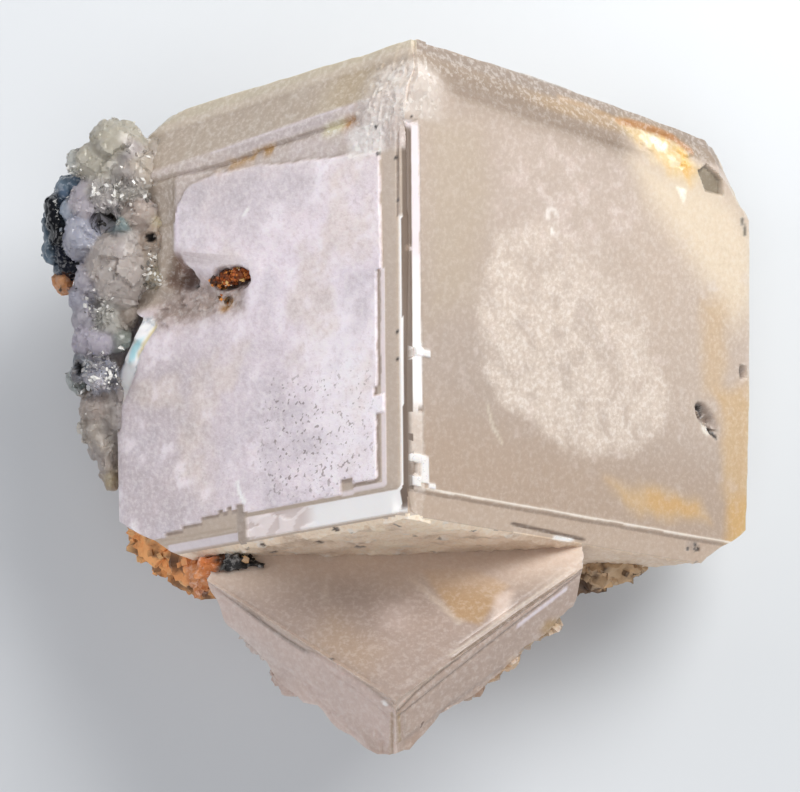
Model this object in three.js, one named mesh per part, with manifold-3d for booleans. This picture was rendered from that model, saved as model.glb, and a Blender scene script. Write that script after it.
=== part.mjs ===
// A calcite specimen lying on its back: a big milky rhombohedron with bevelled top edges, a
// smaller rhombohedron grown through its lower side, a cluster of small crystals with a dark
// crust on its left flank, and the iron-stained rock that all of it grew on.
//
// Frame: millimetres, +Z up. The three big faces of the main crystal meet at a corner that
// points up, +Y follows the ridge between the two large faces, and z = 0 is the flat cut under
// the rock. The origin is on that cut, under the middle of the outline.
//
// A crystal grows in layers that lie flat on its faces, so each crystal is a stack of convex
// layers, and each layer is the space behind a set of flat planes. Places on the specimen are
// measured from the near corner: the highest point of the main crystal's three big faces.

import * as THREE from "three";
import { ConvexGeometry } from "three/addons/geometries/ConvexGeometry.js";
import { ImprovedNoise } from "three/addons/math/ImprovedNoise.js";
import { mergeVertices } from "three/addons/utils/BufferGeometryUtils.js";
import Module from "manifold-3d";

const wasm = await Module();
wasm.setup();

// Main crystal: the near corner, and the edges that leave it at about 102 degrees to each
// other, as in calcite
const NEAR_CORNER = vec(0.3, -6.95, 28);
const EDGE_UP = direction(-0.009, 0.998, 0.068);
const EDGE_LEFT = direction(-0.801, -0.172, -0.573);
const EDGE_RIGHT = direction(0.75, -0.157, -0.642);

// How far the crystal reaches along its edges, and square to its under face
const LEFT_EXTENT = 24.7;
const RIGHT_EXTENT = 32.9;
const TOP_EXTENT = 28.8;
const UNDER_EXTENT = 0.6;

// The bevelled bands along the top: where they start on the ridge, and their lean in degrees
const LEFT_BAND_START = 24.7;
const RIGHT_BAND_START = 27.1;
const BAND_LEAN = 29;

// Steps between the growth layers
const GROOVE_DEPTH = 0.35;
const RIM_DEPTH = 0.3;
const PLATE_THICKNESS = 0.3;
const PLATE_ROOT = 0.4;
const LEDGE_SETBACK = 0.85;
const RIM_SETBACK = 0.2;

// The slopes that end each large face's top layer: their width and their lean in degrees
const BOTTOM_SLOPE = { width: 1.4, lean: -16 };
const UNDER_SLOPE_LEAN = -48;
const LEDGE_LEAN = 40;
const RIM_LEAN = -60;
const RIDGE_SLOPE = { left: { width: 0.5, lean: 45 }, right: { width: 1, lean: -20 } };

// Lower crystal: its highest corner, and the lean and compass turn of its three faces
const LOWER_CORNER = NEAR_CORNER.clone().add(vec(-1, -11.6, -2));
const LOWER_LEAN = 44.6;
const LOWER_TURNS = { upper: 92, left: 209.5, right: 332.5 };
const LOWER_GROOVE = 0.25;
const LOWER_PLATE_THICKNESS = 0.15;

// Height above the cut at which the crystals end inside the rock
const CONTACT_HEIGHT = 3;

// Clearance that neighbouring pieces keep
const GAP = 0.3;

// Points closer than this count as one
const SAME_POINT = 1e-4;

function vec(x, y, z) {
  return new THREE.Vector3(x, y, z);
}

function direction(x, y, z) {
  return vec(x, y, z).normalize();
}

// A point reached from a start by steps of given lengths along given directions
function reach(start, ...steps) {
  const point = start.clone();
  for (const [length, along] of steps) point.addScaledVector(along, length);
  return point;
}

function fromNearCorner(x, y, z) {
  return vec(x, y, z).add(NEAR_CORNER);
}

function turned(normal, axis, degrees) {
  return normal.clone().applyAxisAngle(axis, THREE.MathUtils.degToRad(degrees));
}

// Random numbers from 0 to 1 that are the same on each run
function randomFrom(seed) {
  THREE.MathUtils.seededRandom(seed);
  return () => THREE.MathUtils.seededRandom();
}

// Solids

function solidOf(geometry) {
  const bare = geometry.clone();
  bare.deleteAttribute("normal");
  bare.deleteAttribute("uv");
  const merged = mergeVertices(bare, SAME_POINT);
  return new wasm.Manifold(
    new wasm.Mesh({
      numProp: 3,
      vertProperties: merged.getAttribute("position").array,
      triVerts: new Uint32Array(merged.index.array),
    }),
  );
}

function geometryOf(solid) {
  const mesh = solid.getMesh();
  const geometry = new THREE.BufferGeometry();
  geometry.setAttribute("position", new THREE.BufferAttribute(mesh.vertProperties, 3));
  geometry.setIndex(new THREE.BufferAttribute(mesh.triVerts, 1));
  const faceted = geometry.toNonIndexed();
  faceted.computeVertexNormals();
  return faceted;
}

function joined(solids) {
  return solids.reduce((whole, solid) => whole.add(solid));
}

// Cutting can leave loose crumbs: only the largest body is kept
function largestBody(solid) {
  const bodies = solid.decompose();
  return bodies.reduce((best, body) => (body.volume() > best.volume() ? body : best));
}

// A wide block below a level, for flat cuts
function everythingBelow(level) {
  const size = 200;
  const block = new THREE.BoxGeometry(size, size, size);
  return solidOf(block.translate(0, 0, level - size / 2));
}

// A plane through a point, moved outwards by an offset: the solid lies behind it
function plane(normal, point, offset = 0) {
  return { normal, distance: normal.dot(point) + offset };
}

// Where three planes meet, or null when two of them are parallel
function meetingPoint(a, b, c) {
  const bc = b.normal.clone().cross(c.normal);
  const ca = c.normal.clone().cross(a.normal);
  const ab = a.normal.clone().cross(b.normal);
  const spread = a.normal.dot(bc);
  if (Math.abs(spread) < SAME_POINT) return null;
  return bc
    .multiplyScalar(a.distance)
    .addScaledVector(ca, b.distance)
    .addScaledVector(ab, c.distance)
    .divideScalar(spread);
}

// The convex solid behind all the planes, each moved outwards by grow
function behindPlanes(planes, grow = 0) {
  const moved = planes.map(({ normal, distance }) => ({ normal, distance: distance + grow }));
  const corners = [];
  const isBehindAll = (point) =>
    moved.every(({ normal, distance }) => normal.dot(point) < distance + SAME_POINT / 10);
  for (let i = 0; i < moved.length; i++) {
    for (let j = i + 1; j < moved.length; j++) {
      for (let k = j + 1; k < moved.length; k++) {
        const corner = meetingPoint(moved[i], moved[j], moved[k]);
        if (!corner || !isBehindAll(corner)) continue;
        if (corners.every((other) => other.distanceTo(corner) > SAME_POINT)) corners.push(corner);
      }
    }
  }
  return solidOf(new ConvexGeometry(corners));
}

// A flat plate that stands on a face: its outline is in millimetres along two edges
function plate(place, normal, outline, thickness, grow = 0) {
  const base = outline.map(([first, second]) => place(first, second));
  const across = base[1].clone().sub(base[0]).normalize();
  const along = normal.clone().cross(across);
  const shape = new THREE.Shape(
    base.map((point) => {
      const spoke = point.clone().sub(base[0]);
      return new THREE.Vector2(spoke.dot(across), spoke.dot(along));
    }),
  );
  const geometry = new THREE.ExtrudeGeometry(shape, {
    depth: PLATE_ROOT + thickness + grow,
    bevelEnabled: false,
  });
  const stand = new THREE.Matrix4().makeBasis(across, along, normal);
  stand.setPosition(reach(base[0], [-PLATE_ROOT, normal]));
  return solidOf(geometry.applyMatrix4(stand));
}

// An angular lump: the hull of points wound evenly over an uneven ellipsoid. A row is its
// centre from the near corner, then its three radii.
const GOLDEN_TURN = Math.PI * (3 - Math.sqrt(5));

function lump([x, y, z, ...radii], seed, { points = 12, roughness = 0.3, grow = 0 } = {}) {
  const random = randomFrom(seed);
  const fullTurn = 2 * Math.PI;
  const spin = new THREE.Euler(random() * fullTurn, random() * fullTurn, random() * fullTurn);
  const size = vec(...radii).addScalar(grow);
  const centre = fromNearCorner(x, y, z);
  const corners = [];
  for (let i = 0; i < points; i++) {
    const height = 1 - (2 * i + 1) / points;
    const turn = i * GOLDEN_TURN + random() * roughness;
    const level = Math.sqrt(1 - height * height);
    const spoke = vec(level * Math.cos(turn), level * Math.sin(turn), height).applyEuler(spin);
    spoke.multiplyScalar(1 + roughness * (random() - 0.5));
    corners.push(spoke.multiply(size).add(centre));
  }
  return solidOf(new ConvexGeometry(corners));
}

function lumps(rows, seed, options) {
  return joined(rows.map((row, index) => lump(row, seed + index, options)));
}

// A craggy stone: a ball whose surface is pushed in and out by coarse and by finer noise
const NOISE = new ImprovedNoise();
const COARSE_CRAGS = { width: 4.6, push: 2.2 };
const FINE_CRAGS = { width: 2.1, push: 1.3 };

function noiseAt(place, width) {
  return NOISE.noise(place.x / width, place.y / width, place.z / width);
}

function stone([x, y, z, ...radii], fineness) {
  const geometry = new THREE.IcosahedronGeometry(1, fineness);
  const corners = geometry.getAttribute("position");
  const centre = fromNearCorner(x, y, z);
  const calm = Math.min(1, Math.min(...radii) / COARSE_CRAGS.width);
  for (let i = 0; i < corners.count; i++) {
    const spoke = new THREE.Vector3().fromBufferAttribute(corners, i);
    const place = spoke.clone().multiply(vec(...radii)).add(centre);
    const swell = COARSE_CRAGS.push * noiseAt(place, COARSE_CRAGS.width);
    const cleft = FINE_CRAGS.push * Math.abs(noiseAt(place, FINE_CRAGS.width));
    place.addScaledVector(spoke, calm * (swell - cleft));
    corners.setXYZ(i, place.x, place.y, place.z);
  }
  return solidOf(geometry);
}

// Main crystal

const LEFT_NORMAL = EDGE_UP.clone().cross(EDGE_LEFT).normalize();
const RIGHT_NORMAL = EDGE_RIGHT.clone().cross(EDGE_UP).normalize();
const UNDER_NORMAL = EDGE_LEFT.clone().cross(EDGE_RIGHT).normalize();

// Normals of the two large faces, leaned upwards, or downwards when negative
const leftLeaned = (degrees) => turned(LEFT_NORMAL, EDGE_LEFT, degrees);
const rightLeaned = (degrees) => turned(RIGHT_NORMAL, EDGE_RIGHT, -degrees);

// Places on the two large faces: millimetres out from the ridge, and up along it
const leftPoint = (out, up) => reach(NEAR_CORNER, [out, EDGE_LEFT], [up, EDGE_UP]);
const rightPoint = (out, up) => reach(NEAR_CORNER, [out, EDGE_RIGHT], [up, EDGE_UP]);

// Corners that are broken off flat
const BROKEN_CORNERS = [
  plane(direction(-0.86, 0.42, 0.28), leftPoint(22.6, 23)),
  plane(direction(-0.42, -0.9, -0.02), leftPoint(22, 1.1)),
  plane(direction(0.79, 0.6, -0.04), rightPoint(31, 25.7)),
  plane(direction(0.93, 0.33, -0.06), rightPoint(32.5, 24.4)),
  plane(direction(0.2, -0.9, -0.45), rightPoint(31, 1.6)),
];

// Planes of one growth layer. A value says how far that face lies back in this layer.
function mainPlanes({ left = 0, right = 0, leftBand = 0, rightBand = 0 }) {
  return [
    plane(LEFT_NORMAL, NEAR_CORNER, -left),
    plane(RIGHT_NORMAL, NEAR_CORNER, -right),
    plane(UNDER_NORMAL, NEAR_CORNER, UNDER_EXTENT),
    plane(leftLeaned(BAND_LEAN), leftPoint(0, LEFT_BAND_START), -leftBand),
    plane(rightLeaned(BAND_LEAN), rightPoint(0, RIGHT_BAND_START), -rightBand),
    plane(UNDER_NORMAL.clone().negate(), NEAR_CORNER, TOP_EXTENT),
    plane(LEFT_NORMAL.clone().negate(), rightPoint(RIGHT_EXTENT, 0)),
    plane(RIGHT_NORMAL.clone().negate(), leftPoint(LEFT_EXTENT, 0)),
    plane(vec(0, 0, -1), vec(0, 0, CONTACT_HEIGHT)),
    ...BROKEN_CORNERS,
  ];
}

// The top layer of each large face stops short of the ridge, the band and the under face
function leftShelf(grow) {
  const { width, lean } = RIDGE_SLOPE.left;
  const slopes = [
    plane(turned(LEFT_NORMAL, EDGE_UP, lean), leftPoint(width, 0)),
    plane(leftLeaned(BOTTOM_SLOPE.lean), leftPoint(0, BOTTOM_SLOPE.width)),
    plane(leftLeaned(UNDER_SLOPE_LEAN), NEAR_CORNER),
    plane(leftLeaned(LEDGE_LEAN), leftPoint(0, LEFT_BAND_START - LEDGE_SETBACK)),
  ];
  const layer = { right: GROOVE_DEPTH, leftBand: RIM_DEPTH, rightBand: RIM_DEPTH };
  return behindPlanes([...mainPlanes(layer), ...slopes], grow);
}

function rightShelf(grow) {
  const { width, lean } = RIDGE_SLOPE.right;
  const slopes = [
    plane(turned(RIGHT_NORMAL, EDGE_UP, lean), rightPoint(width, 0)),
    plane(rightLeaned(BOTTOM_SLOPE.lean), rightPoint(0, BOTTOM_SLOPE.width)),
    plane(rightLeaned(UNDER_SLOPE_LEAN), NEAR_CORNER),
    plane(rightLeaned(LEDGE_LEAN), rightPoint(0, RIGHT_BAND_START - LEDGE_SETBACK)),
  ];
  const layer = { left: GROOVE_DEPTH, leftBand: RIM_DEPTH, rightBand: RIM_DEPTH };
  return behindPlanes([...mainPlanes(layer), ...slopes], grow);
}

// The bands carry a rim of their own, with a step down to the large faces
function bandRims(grow) {
  const back = { left: GROOVE_DEPTH, right: GROOVE_DEPTH };
  const leftStep = plane(leftLeaned(RIM_LEAN), leftPoint(0, LEFT_BAND_START + RIM_SETBACK));
  const rightStep = plane(rightLeaned(RIM_LEAN), rightPoint(0, RIGHT_BAND_START + RIM_SETBACK));
  return [
    behindPlanes([...mainPlanes({ ...back, rightBand: RIM_DEPTH }), leftStep], grow),
    behindPlanes([...mainPlanes({ ...back, leftBand: RIM_DEPTH }), rightStep], grow),
  ];
}

// The big thin plate on the left face, from its lower right corner upwards along the ridge,
// past four notches, and back around the pocket at its left end
const LEFT_PLATE = [
  [2.6, 1.5],
  [2.3, 2.4],
  [1.7, 2.4],
  [1.7, 6.4],
  [2.3, 6.4],
  [2.3, 7.2],
  [1.7, 7.2],
  [1.7, 10.5],
  [2.3, 10.5],
  [2.3, 12.8],
  [1.6, 12.8],
  [1.6, 22.8],
  [3.8, 23.2],
  [16.6, 23.4],
  [17.7, 23.2],
  [18.8, 22.4],
  [18.7, 19.3],
  [17.8, 17.5],
  [16.5, 18.2],
  [13, 17.8],
  [12.7, 15.5],
  [17.9, 15.8],
  [21, 15.7],
  [23.4, 14.2],
  [24.5, 11],
  [24.5, 3],
  [21.7, 1.5],
];

// Small blocks left by broken layers beside the ridge: out and up, then width and height
const RIDGE_BLOCKS = [
  [0.9, 2.2, 0.9, 0.8],
  [1.2, 3, 0.6, 1.3],
  [0.8, 9.6, 1.1, 0.5],
];
const RIDGE_BLOCK_THICKNESS = 0.14;

function ridgeBlocks(grow) {
  return RIDGE_BLOCKS.map(([out, up, width, height]) => {
    const outline = [
      [out, up],
      [out + width, up],
      [out + width, up + height],
      [out, up + height],
    ];
    return plate(rightPoint, RIGHT_NORMAL, outline, RIDGE_BLOCK_THICKNESS, grow);
  });
}

// Hollows: the pocket and its mouth at the left, a pit and a nick at the right
const HOLLOWS = [
  [-12.2, 14.3, -7.6, 2.7, 1.2, 1.5],
  [-14.6, 14.6, -9.2, 1.5, 1.1, 1.6],
  [20.9, 5.2, -17.4, 1, 1.3, 0.9],
  [22.3, 24, -16.6, 1.3, 1.5, 2.2],
];

// The flake broken off the left edge below the cluster
function leftFlake(grow) {
  return behindPlanes(
    [
      plane(direction(0.88, -0.3, -0.36), leftPoint(22.9, 13.4)),
      plane(EDGE_UP, leftPoint(21, 16)),
      plane(EDGE_UP.clone().negate(), leftPoint(24, 8)),
      plane(vec(-1, 0, 0), leftPoint(LEFT_EXTENT, 0), 4),
      plane(vec(0, 0, 1), NEAR_CORNER),
      plane(vec(0, 0, -1), leftPoint(LEFT_EXTENT, 0), 5),
    ],
    -grow,
  );
}

function mainCrystal(grow) {
  const back = GROOVE_DEPTH;
  const core = mainPlanes({ left: back, right: back, leftBand: RIM_DEPTH, rightBand: RIM_DEPTH });
  return joined([
    behindPlanes(core, grow),
    leftShelf(grow),
    rightShelf(grow),
    ...bandRims(grow),
    plate(leftPoint, LEFT_NORMAL, LEFT_PLATE, PLATE_THICKNESS, grow),
    ...ridgeBlocks(grow),
  ])
    .subtract(lumps(HOLLOWS, 100, { points: 16, grow: -grow }))
    .subtract(leftFlake(grow));
}

// Lower crystal

const LOWER_NORMALS = Object.fromEntries(
  Object.entries(LOWER_TURNS).map(([name, degrees]) => {
    const leaned = turned(vec(0, 0, 1), vec(0, 1, 0), LOWER_LEAN);
    return [name, turned(leaned, vec(0, 0, 1), degrees)];
  }),
);
const LOWER_EDGE_LEFT = LOWER_NORMALS.left.clone().cross(LOWER_NORMALS.upper).normalize();
const LOWER_EDGE_RIGHT = LOWER_NORMALS.upper.clone().cross(LOWER_NORMALS.right).normalize();
const LOWER_REACH = 14;

const lowerPoint = (left, right) =>
  reach(LOWER_CORNER, [left, LOWER_EDGE_LEFT], [right, LOWER_EDGE_RIGHT]);

// One growth layer: the raised face stands out by the depth of the grooves at the edges
function lowerLayer(raised, grow) {
  const faces = Object.entries(LOWER_NORMALS).map(([name, normal]) =>
    plane(normal, LOWER_CORNER, name === raised ? 0 : -LOWER_GROOVE),
  );
  const limits = [
    plane(vec(0, 0, -1), vec(0, 0, CONTACT_HEIGHT)),
    plane(vec(0, 1, 0), NEAR_CORNER),
    plane(vec(-1, 0, 0), LOWER_CORNER, LOWER_REACH),
    plane(vec(1, 0, 0), LOWER_CORNER, LOWER_REACH),
    plane(vec(0, -1, 0), LOWER_CORNER, LOWER_REACH),
  ];
  return behindPlanes([...faces, ...limits], grow);
}

// The inner plate of the upper face, which leaves a second groove beside the edges
const LOWER_PLATE = [
  [1, 1],
  [1, 16],
  [15, 16],
  [15, 1],
];

// The ragged outline where the lower crystal is broken, seen from above
const BROKEN_OUTLINE = [
  [-13.2, 0.4],
  [-13, -5.4],
  [-12.4, -8.3],
  [-10.8, -9.2],
  [-9.5, -10.6],
  [-8.9, -11.6],
  [-7.1, -13.2],
  [-6, -13.1],
  [-4.4, -14.6],
  [-2.1, -15.8],
  [-1, -15.4],
  [0.1, -15.3],
  [2.1, -13.7],
  [4, -12.9],
  [6, -11.4],
  [7.9, -9.6],
  [9.9, -8.6],
  [11.4, -6.8],
  [12.1, -3.2],
  [12, 0.4],
];

// Levels of the broken sides: height from the near corner, scale of the outline, unevenness
const BROKEN_LEVELS = [
  [4, 1, 0],
  [-9, 0.98, 0.03],
  [-13, 0.92, 0.1],
  [-17, 0.82, 0.14],
  [-21, 0.76, 0.14],
  [-30, 0.66, 0.05],
];

// The space inside uneven sides that follow the outline from level to level
function insideBrokenSides(grow) {
  const random = randomFrom(50);
  const count = BROKEN_OUTLINE.length;
  const contour = BROKEN_OUTLINE.map(([x, y]) => new THREE.Vector2(x, y));
  const centre = new THREE.Vector2();
  for (const point of contour) centre.addScaledVector(point, 1 / count);
  const corners = BROKEN_LEVELS.flatMap(([height, scale, unevenness]) =>
    contour.map((point) => {
      const spoke = point.clone().sub(centre);
      const stretch = scale + unevenness * (random() - 0.5);
      spoke.setLength(spoke.length() * stretch + grow).add(centre);
      return fromNearCorner(spoke.x, spoke.y, height);
    }),
  );
  const faces = [];
  const last = count * (BROKEN_LEVELS.length - 1);
  for (const [a, b, c] of THREE.ShapeUtils.triangulateShape(contour, [])) {
    faces.push(a, b, c, last + c, last + b, last + a);
  }
  for (let start = 0; start < last; start += count) {
    for (let i = 0; i < count; i++) {
      const here = start + i;
      const next = start + ((i + 1) % count);
      faces.push(here, here + count, next, next, here + count, next + count);
    }
  }
  const geometry = new THREE.BufferGeometry().setFromPoints(corners);
  geometry.setIndex(faces);
  return solidOf(geometry);
}

// Ragged lumps that cling to the broken edge
const EDGE_LUMPS = [
  [5.4, -10.2, -9.4, 2.2, 1.9, 2],
  [7.6, -8.6, -10, 2.1, 1.7, 2],
  [3.4, -11.8, -8.8, 1.9, 1.6, 2],
  [9.6, -7.2, -11.6, 1.9, 1.7, 2.2],
  [1.2, -12.6, -9, 1.9, 1.8, 2.4],
  [-6.6, -11, -10.4, 2.1, 1.8, 2.4],
  [-9.4, -8.8, -11.4, 2, 1.7, 2.4],
];

function lowerCrystal(grow) {
  const layers = Object.keys(LOWER_NORMALS).map((raised) => lowerLayer(raised, grow));
  layers.push(plate(lowerPoint, LOWER_NORMALS.upper, LOWER_PLATE, LOWER_PLATE_THICKNESS, grow));
  return joined(layers)
    .intersect(insideBrokenSides(grow))
    .add(lumps(EDGE_LUMPS, 300, { points: 16, grow }));
}

// Both crystals have grown into each other and are one solid
function calciteCrystals(grow = 0) {
  return mainCrystal(grow).add(lowerCrystal(grow));
}

// The rock: a low mound, with knobs that climb the crystals and show past them
const MOUND = [2, 5, -25, 18, 15.6, 8.5];
const KNOBS = [
  [-15.9, -2.2, -17.8, 3.9, 3.6, 4.6],
  [-13.6, -3.6, -22.4, 4.6, 4.4, 5],
  [-13.6, 12, -22, 5.4, 6.4, 5.6],
  [14.4, -4.2, -19.4, 3.8, 3.2, 3.8],
  [12, -4.4, -23, 5, 4.6, 5.6],
  [-0.5, -9.3, -22.2, 7.4, 5.6, 6.4],
];

function matrixRock() {
  const knobs = KNOBS.map((knob) => stone(knob, 5));
  return joined([stone(MOUND, 10), ...knobs]).subtract(everythingBelow(0));
}

// Small crystals on the left flank, from the top of the cluster to its bottom, then two that
// tie it together behind
const CLUSTER = [
  [-19.5, 24, -12.4, 2.7, 2.2, 2.7],
  [-21.7, 22.8, -13, 1.8, 1.7, 1.9],
  [-17.4, 22.4, -12, 2.1, 2.1, 2.4],
  [-19.4, 21, -11.4, 2.3, 1.7, 2.2],
  [-20.8, 19.3, -12.2, 2.6, 2.1, 2.4],
  [-17, 19, -10.8, 2.3, 2.8, 2.3],
  [-18.6, 15.8, -11.4, 3.2, 3, 2.8],
  [-16, 16.4, -11.2, 1.6, 2.2, 2.2],
  [-22, 18.2, -13.2, 2, 2.8, 2.2],
  [-21.3, 14.7, -13, 2, 2.2, 2.4],
  [-20.4, 12, -13.2, 2.4, 2.2, 2.4],
  [-18.6, 12.4, -12.4, 2.2, 1.4, 2],
  [-20.9, 9.4, -13.8, 2.2, 2.4, 2.4],
  [-22.2, 7.8, -14.2, 1.3, 1.5, 1.6],
  [-20.7, 5.8, -14.6, 1.6, 2.2, 2.4],
  [-20.7, 3.2, -15, 1.4, 2.1, 2.4],
  [-20.4, 0.8, -15.4, 1.1, 1.7, 2.4],
  [-18.6, 17, -16.8, 3.4, 5.4, 4],
  [-18.6, 8.6, -17.6, 3, 6, 3.8],
];

// The blue-black crust on the outer side of the cluster, from top to bottom
const DARK_CRUST = [
  [-22.8, 21, -13.8, 1.5, 1.2, 1.8],
  [-23.7, 19.8, -14.2, 1.3, 1.5, 1.8],
  [-24, 18.3, -14.4, 1.4, 1.7, 1.9],
  [-23.8, 16.7, -14.4, 1.4, 1.5, 1.8],
  [-23, 15.3, -14.4, 1.4, 1.4, 1.8],
  [-23.1, 13.9, -14.6, 1.3, 1.5, 1.8],
];

// Rusty micro-crystals on the floor of the pocket
const POCKET_CRUST = [
  [-10.9, 15, -7, 0.7, 0.55, 0.6],
  [-11.7, 14.8, -7.6, 0.7, 0.6, 0.6],
  [-12.5, 14.7, -8.2, 0.7, 0.6, 0.6],
  [-13.3, 14.5, -8.7, 0.6, 0.5, 0.6],
  [-12.2, 13.9, -8, 0.6, 0.6, 0.6],
];

const SEEDS = { cluster: 600, darkCrust: 700, pocketCrust: 800 };

// Each later piece is cut clear of the ones before it
const grownCrystals = calciteCrystals(GAP);
const grownCluster = lumps(CLUSTER, SEEDS.cluster, { grow: GAP });
const grownDarkCrust = lumps(DARK_CRUST, SEEDS.darkCrust, { grow: GAP });

const PIECES = {
  calcite_crystals: {
    solid: calciteCrystals(),
    look: { color: 0xcfc4bb, roughness: 0.35, metalness: 0 },
  },
  small_crystal_cluster: {
    solid: lumps(CLUSTER, SEEDS.cluster).subtract(grownCrystals),
    look: { color: 0xa9aaa6, roughness: 0.3, metalness: 0 },
  },
  dark_crust: {
    solid: lumps(DARK_CRUST, SEEDS.darkCrust).subtract(grownCrystals).subtract(grownCluster),
    look: { color: 0x2c3a4c, roughness: 0.5, metalness: 0 },
  },
  pocket_crust: {
    solid: lumps(POCKET_CRUST, SEEDS.pocketCrust).subtract(grownCrystals),
    look: { color: 0x9a5a26, roughness: 0.6, metalness: 0 },
  },
  matrix_rock: {
    solid: matrixRock().subtract(grownCrystals).subtract(grownCluster).subtract(grownDarkCrust),
    look: { color: 0xb58452, roughness: 0.9, metalness: 0 },
  },
};

const specimen = new THREE.Group();
for (const [name, { solid, look }] of Object.entries(PIECES)) {
  const geometry = geometryOf(largestBody(solid));
  const mesh = new THREE.Mesh(geometry, new THREE.MeshStandardMaterial(look));
  mesh.name = name;
  specimen.add(mesh);
}

export default specimen;
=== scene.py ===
"""A calcite specimen lying on its rock, made as an add-on that is run as a script.

The big milky rhombohedron and the smaller one under it are carved from height maps laid on
their flat faces. Measures on the crystals are in millimetres from the near corner: the highest
point, where the three big faces of the main crystal meet.
"""

import contextlib
import itertools
import math

import bmesh
import bpy
import numpy as np
from bpy.props import FloatProperty, FloatVectorProperty, PointerProperty
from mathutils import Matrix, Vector


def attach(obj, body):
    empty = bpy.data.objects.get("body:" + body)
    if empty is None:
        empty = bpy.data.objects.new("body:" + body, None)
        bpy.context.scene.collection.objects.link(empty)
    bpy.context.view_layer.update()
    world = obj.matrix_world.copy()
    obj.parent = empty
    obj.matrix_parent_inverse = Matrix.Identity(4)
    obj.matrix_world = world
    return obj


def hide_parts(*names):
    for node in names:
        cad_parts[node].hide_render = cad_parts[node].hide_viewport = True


bl_info = {
    "name": "Calcite specimen",
    "version": (1, 0, 0),
    "blender": (4, 5, 0),
    "location": "3D View > Sidebar > Specimen",
    "description": "Builds a milky calcite specimen on its rusty rock",
    "category": "Add Mesh",
}

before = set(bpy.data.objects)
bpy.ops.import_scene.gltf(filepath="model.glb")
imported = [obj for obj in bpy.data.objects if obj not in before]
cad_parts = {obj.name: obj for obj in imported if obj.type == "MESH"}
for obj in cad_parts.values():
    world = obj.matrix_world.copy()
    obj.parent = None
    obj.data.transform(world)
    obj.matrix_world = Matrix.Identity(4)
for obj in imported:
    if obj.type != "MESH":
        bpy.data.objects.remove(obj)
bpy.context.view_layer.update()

BODY = "root"
MM = 0.001


def unit(vector):
    vector = np.asarray(vector, float)
    return vector / np.linalg.norm(vector)


def turned(vector, axis, degrees):
    """A vector turned about a unit axis."""
    angle = math.radians(degrees)
    across = np.cross(axis, vector) * math.sin(angle)
    return vector * math.cos(angle) + across + axis * (axis @ vector) * (1 - math.cos(angle))


# The main crystal: the near corner's place in the frame, and the directions of its three edges
NEAR_CORNER = np.array((0.3, -6.95, 28.0))
EDGE_UP = unit((-0.009, 0.998, 0.068))
EDGE_LEFT = unit((-0.801, -0.172, -0.573))
EDGE_RIGHT = unit((0.75, -0.157, -0.642))
LEFT_NORMAL = unit(np.cross(EDGE_UP, EDGE_LEFT))
RIGHT_NORMAL = unit(np.cross(EDGE_RIGHT, EDGE_UP))
UNDER_NORMAL = unit(np.cross(EDGE_LEFT, EDGE_RIGHT))

LEFT_EXTENT = 24.7
RIGHT_EXTENT = 32.9
TOP_EXTENT = 28.8
UNDER_EXTENT = 0.6
LEFT_BAND_START = 24.7
RIGHT_BAND_START = 27.1
BAND_LEAN = 29
CORE_DEPTH = 2.5
RIDGE_DEPTH = 0.35
PLATE_HEIGHT = 0.3
FLOOR_LEVEL = -25.0

# The lower crystal: its highest corner, the lean of its three faces, and their normals, which
# differ in their turn about the upright
LOWER_CORNER = np.array((-0.8, -12.3, -2.0))
LOWER_LEAN = 44.6
UP = np.array((0.0, 0.0, 1.0))
LEANED = turned(UP, np.array((0.0, 1.0, 0.0)), LOWER_LEAN)
UPPER_OUT, LEFT_OUT, RIGHT_OUT = (turned(LEANED, UP, turn) for turn in (92, 209.5, 332.5))
LOWER_LEFT_EDGE = unit(np.cross(LEFT_OUT, UPPER_OUT))
LOWER_RIGHT_EDGE = unit(np.cross(UPPER_OUT, RIGHT_OUT))
LOWER_DOWN_EDGE = unit(np.cross(RIGHT_OUT, LEFT_OUT))


# Noise and masks


def lattice(cell, seed):
    """Random numbers from 0 to 1, one for each row of whole numbers, mixed by large primes."""
    mixed = cell[..., 0] * 73856093 ^ cell[..., 1] * 19349663 ^ cell[..., 2] * 83492791
    mixed = (mixed ^ seed * 668265263) & 0xFFFFFFFF
    for factor in (2246822519, 3266489917):
        mixed = ((mixed ^ (mixed >> 15)) * factor) & 0xFFFFFFFF
    return ((mixed ^ (mixed >> 16)) & 0xFFFFFF) / 0xFFFFFF


def smooth_noise(points, width, seed):
    """Noise from -1 to 1 whose lumps are about width across."""
    place = points / width
    cell = np.floor(place).astype(np.int64)
    part = place - cell
    part = part * part * (3 - 2 * part)
    total = np.zeros(points.shape[:-1])
    for corner in itertools.product((0, 1), repeat=3):
        weight = np.prod(np.where(corner, part, 1 - part), axis=-1)
        total += weight * lattice(cell + np.array(corner), seed)
    return 2 * total - 1


def rough_noise(points, width, seed, octaves=3):
    """Noise with finer and finer lumps, about -1 to 1."""
    layers = [smooth_noise(points, width / 2**i, seed + i) / 2**i for i in range(octaves)]
    return sum(layers) / (2 - 2 ** (1 - octaves))


def cells(points, width, seed):
    """For each point, how far the nearest scattered seed is, that seed's own number, and the
    way from the seed to the point."""
    place = points / width
    cell = np.floor(place).astype(np.int64)
    nearest = np.full(points.shape[:-1], 9.0)
    number = np.zeros(points.shape[:-1])
    way = np.zeros(points.shape)
    for step in itertools.product((-1, 0, 1), repeat=3):
        there = cell + np.array(step)
        spot = np.stack([lattice(there, seed + i) for i in range(3)], axis=-1) + there
        distance = np.linalg.norm(place - spot, axis=-1)
        closer = distance < nearest
        nearest = np.where(closer, distance, nearest)
        number = np.where(closer, lattice(there, seed + 3), number)
        way = np.where(closer[..., None], place - spot, way)
    return nearest, number, way


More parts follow.
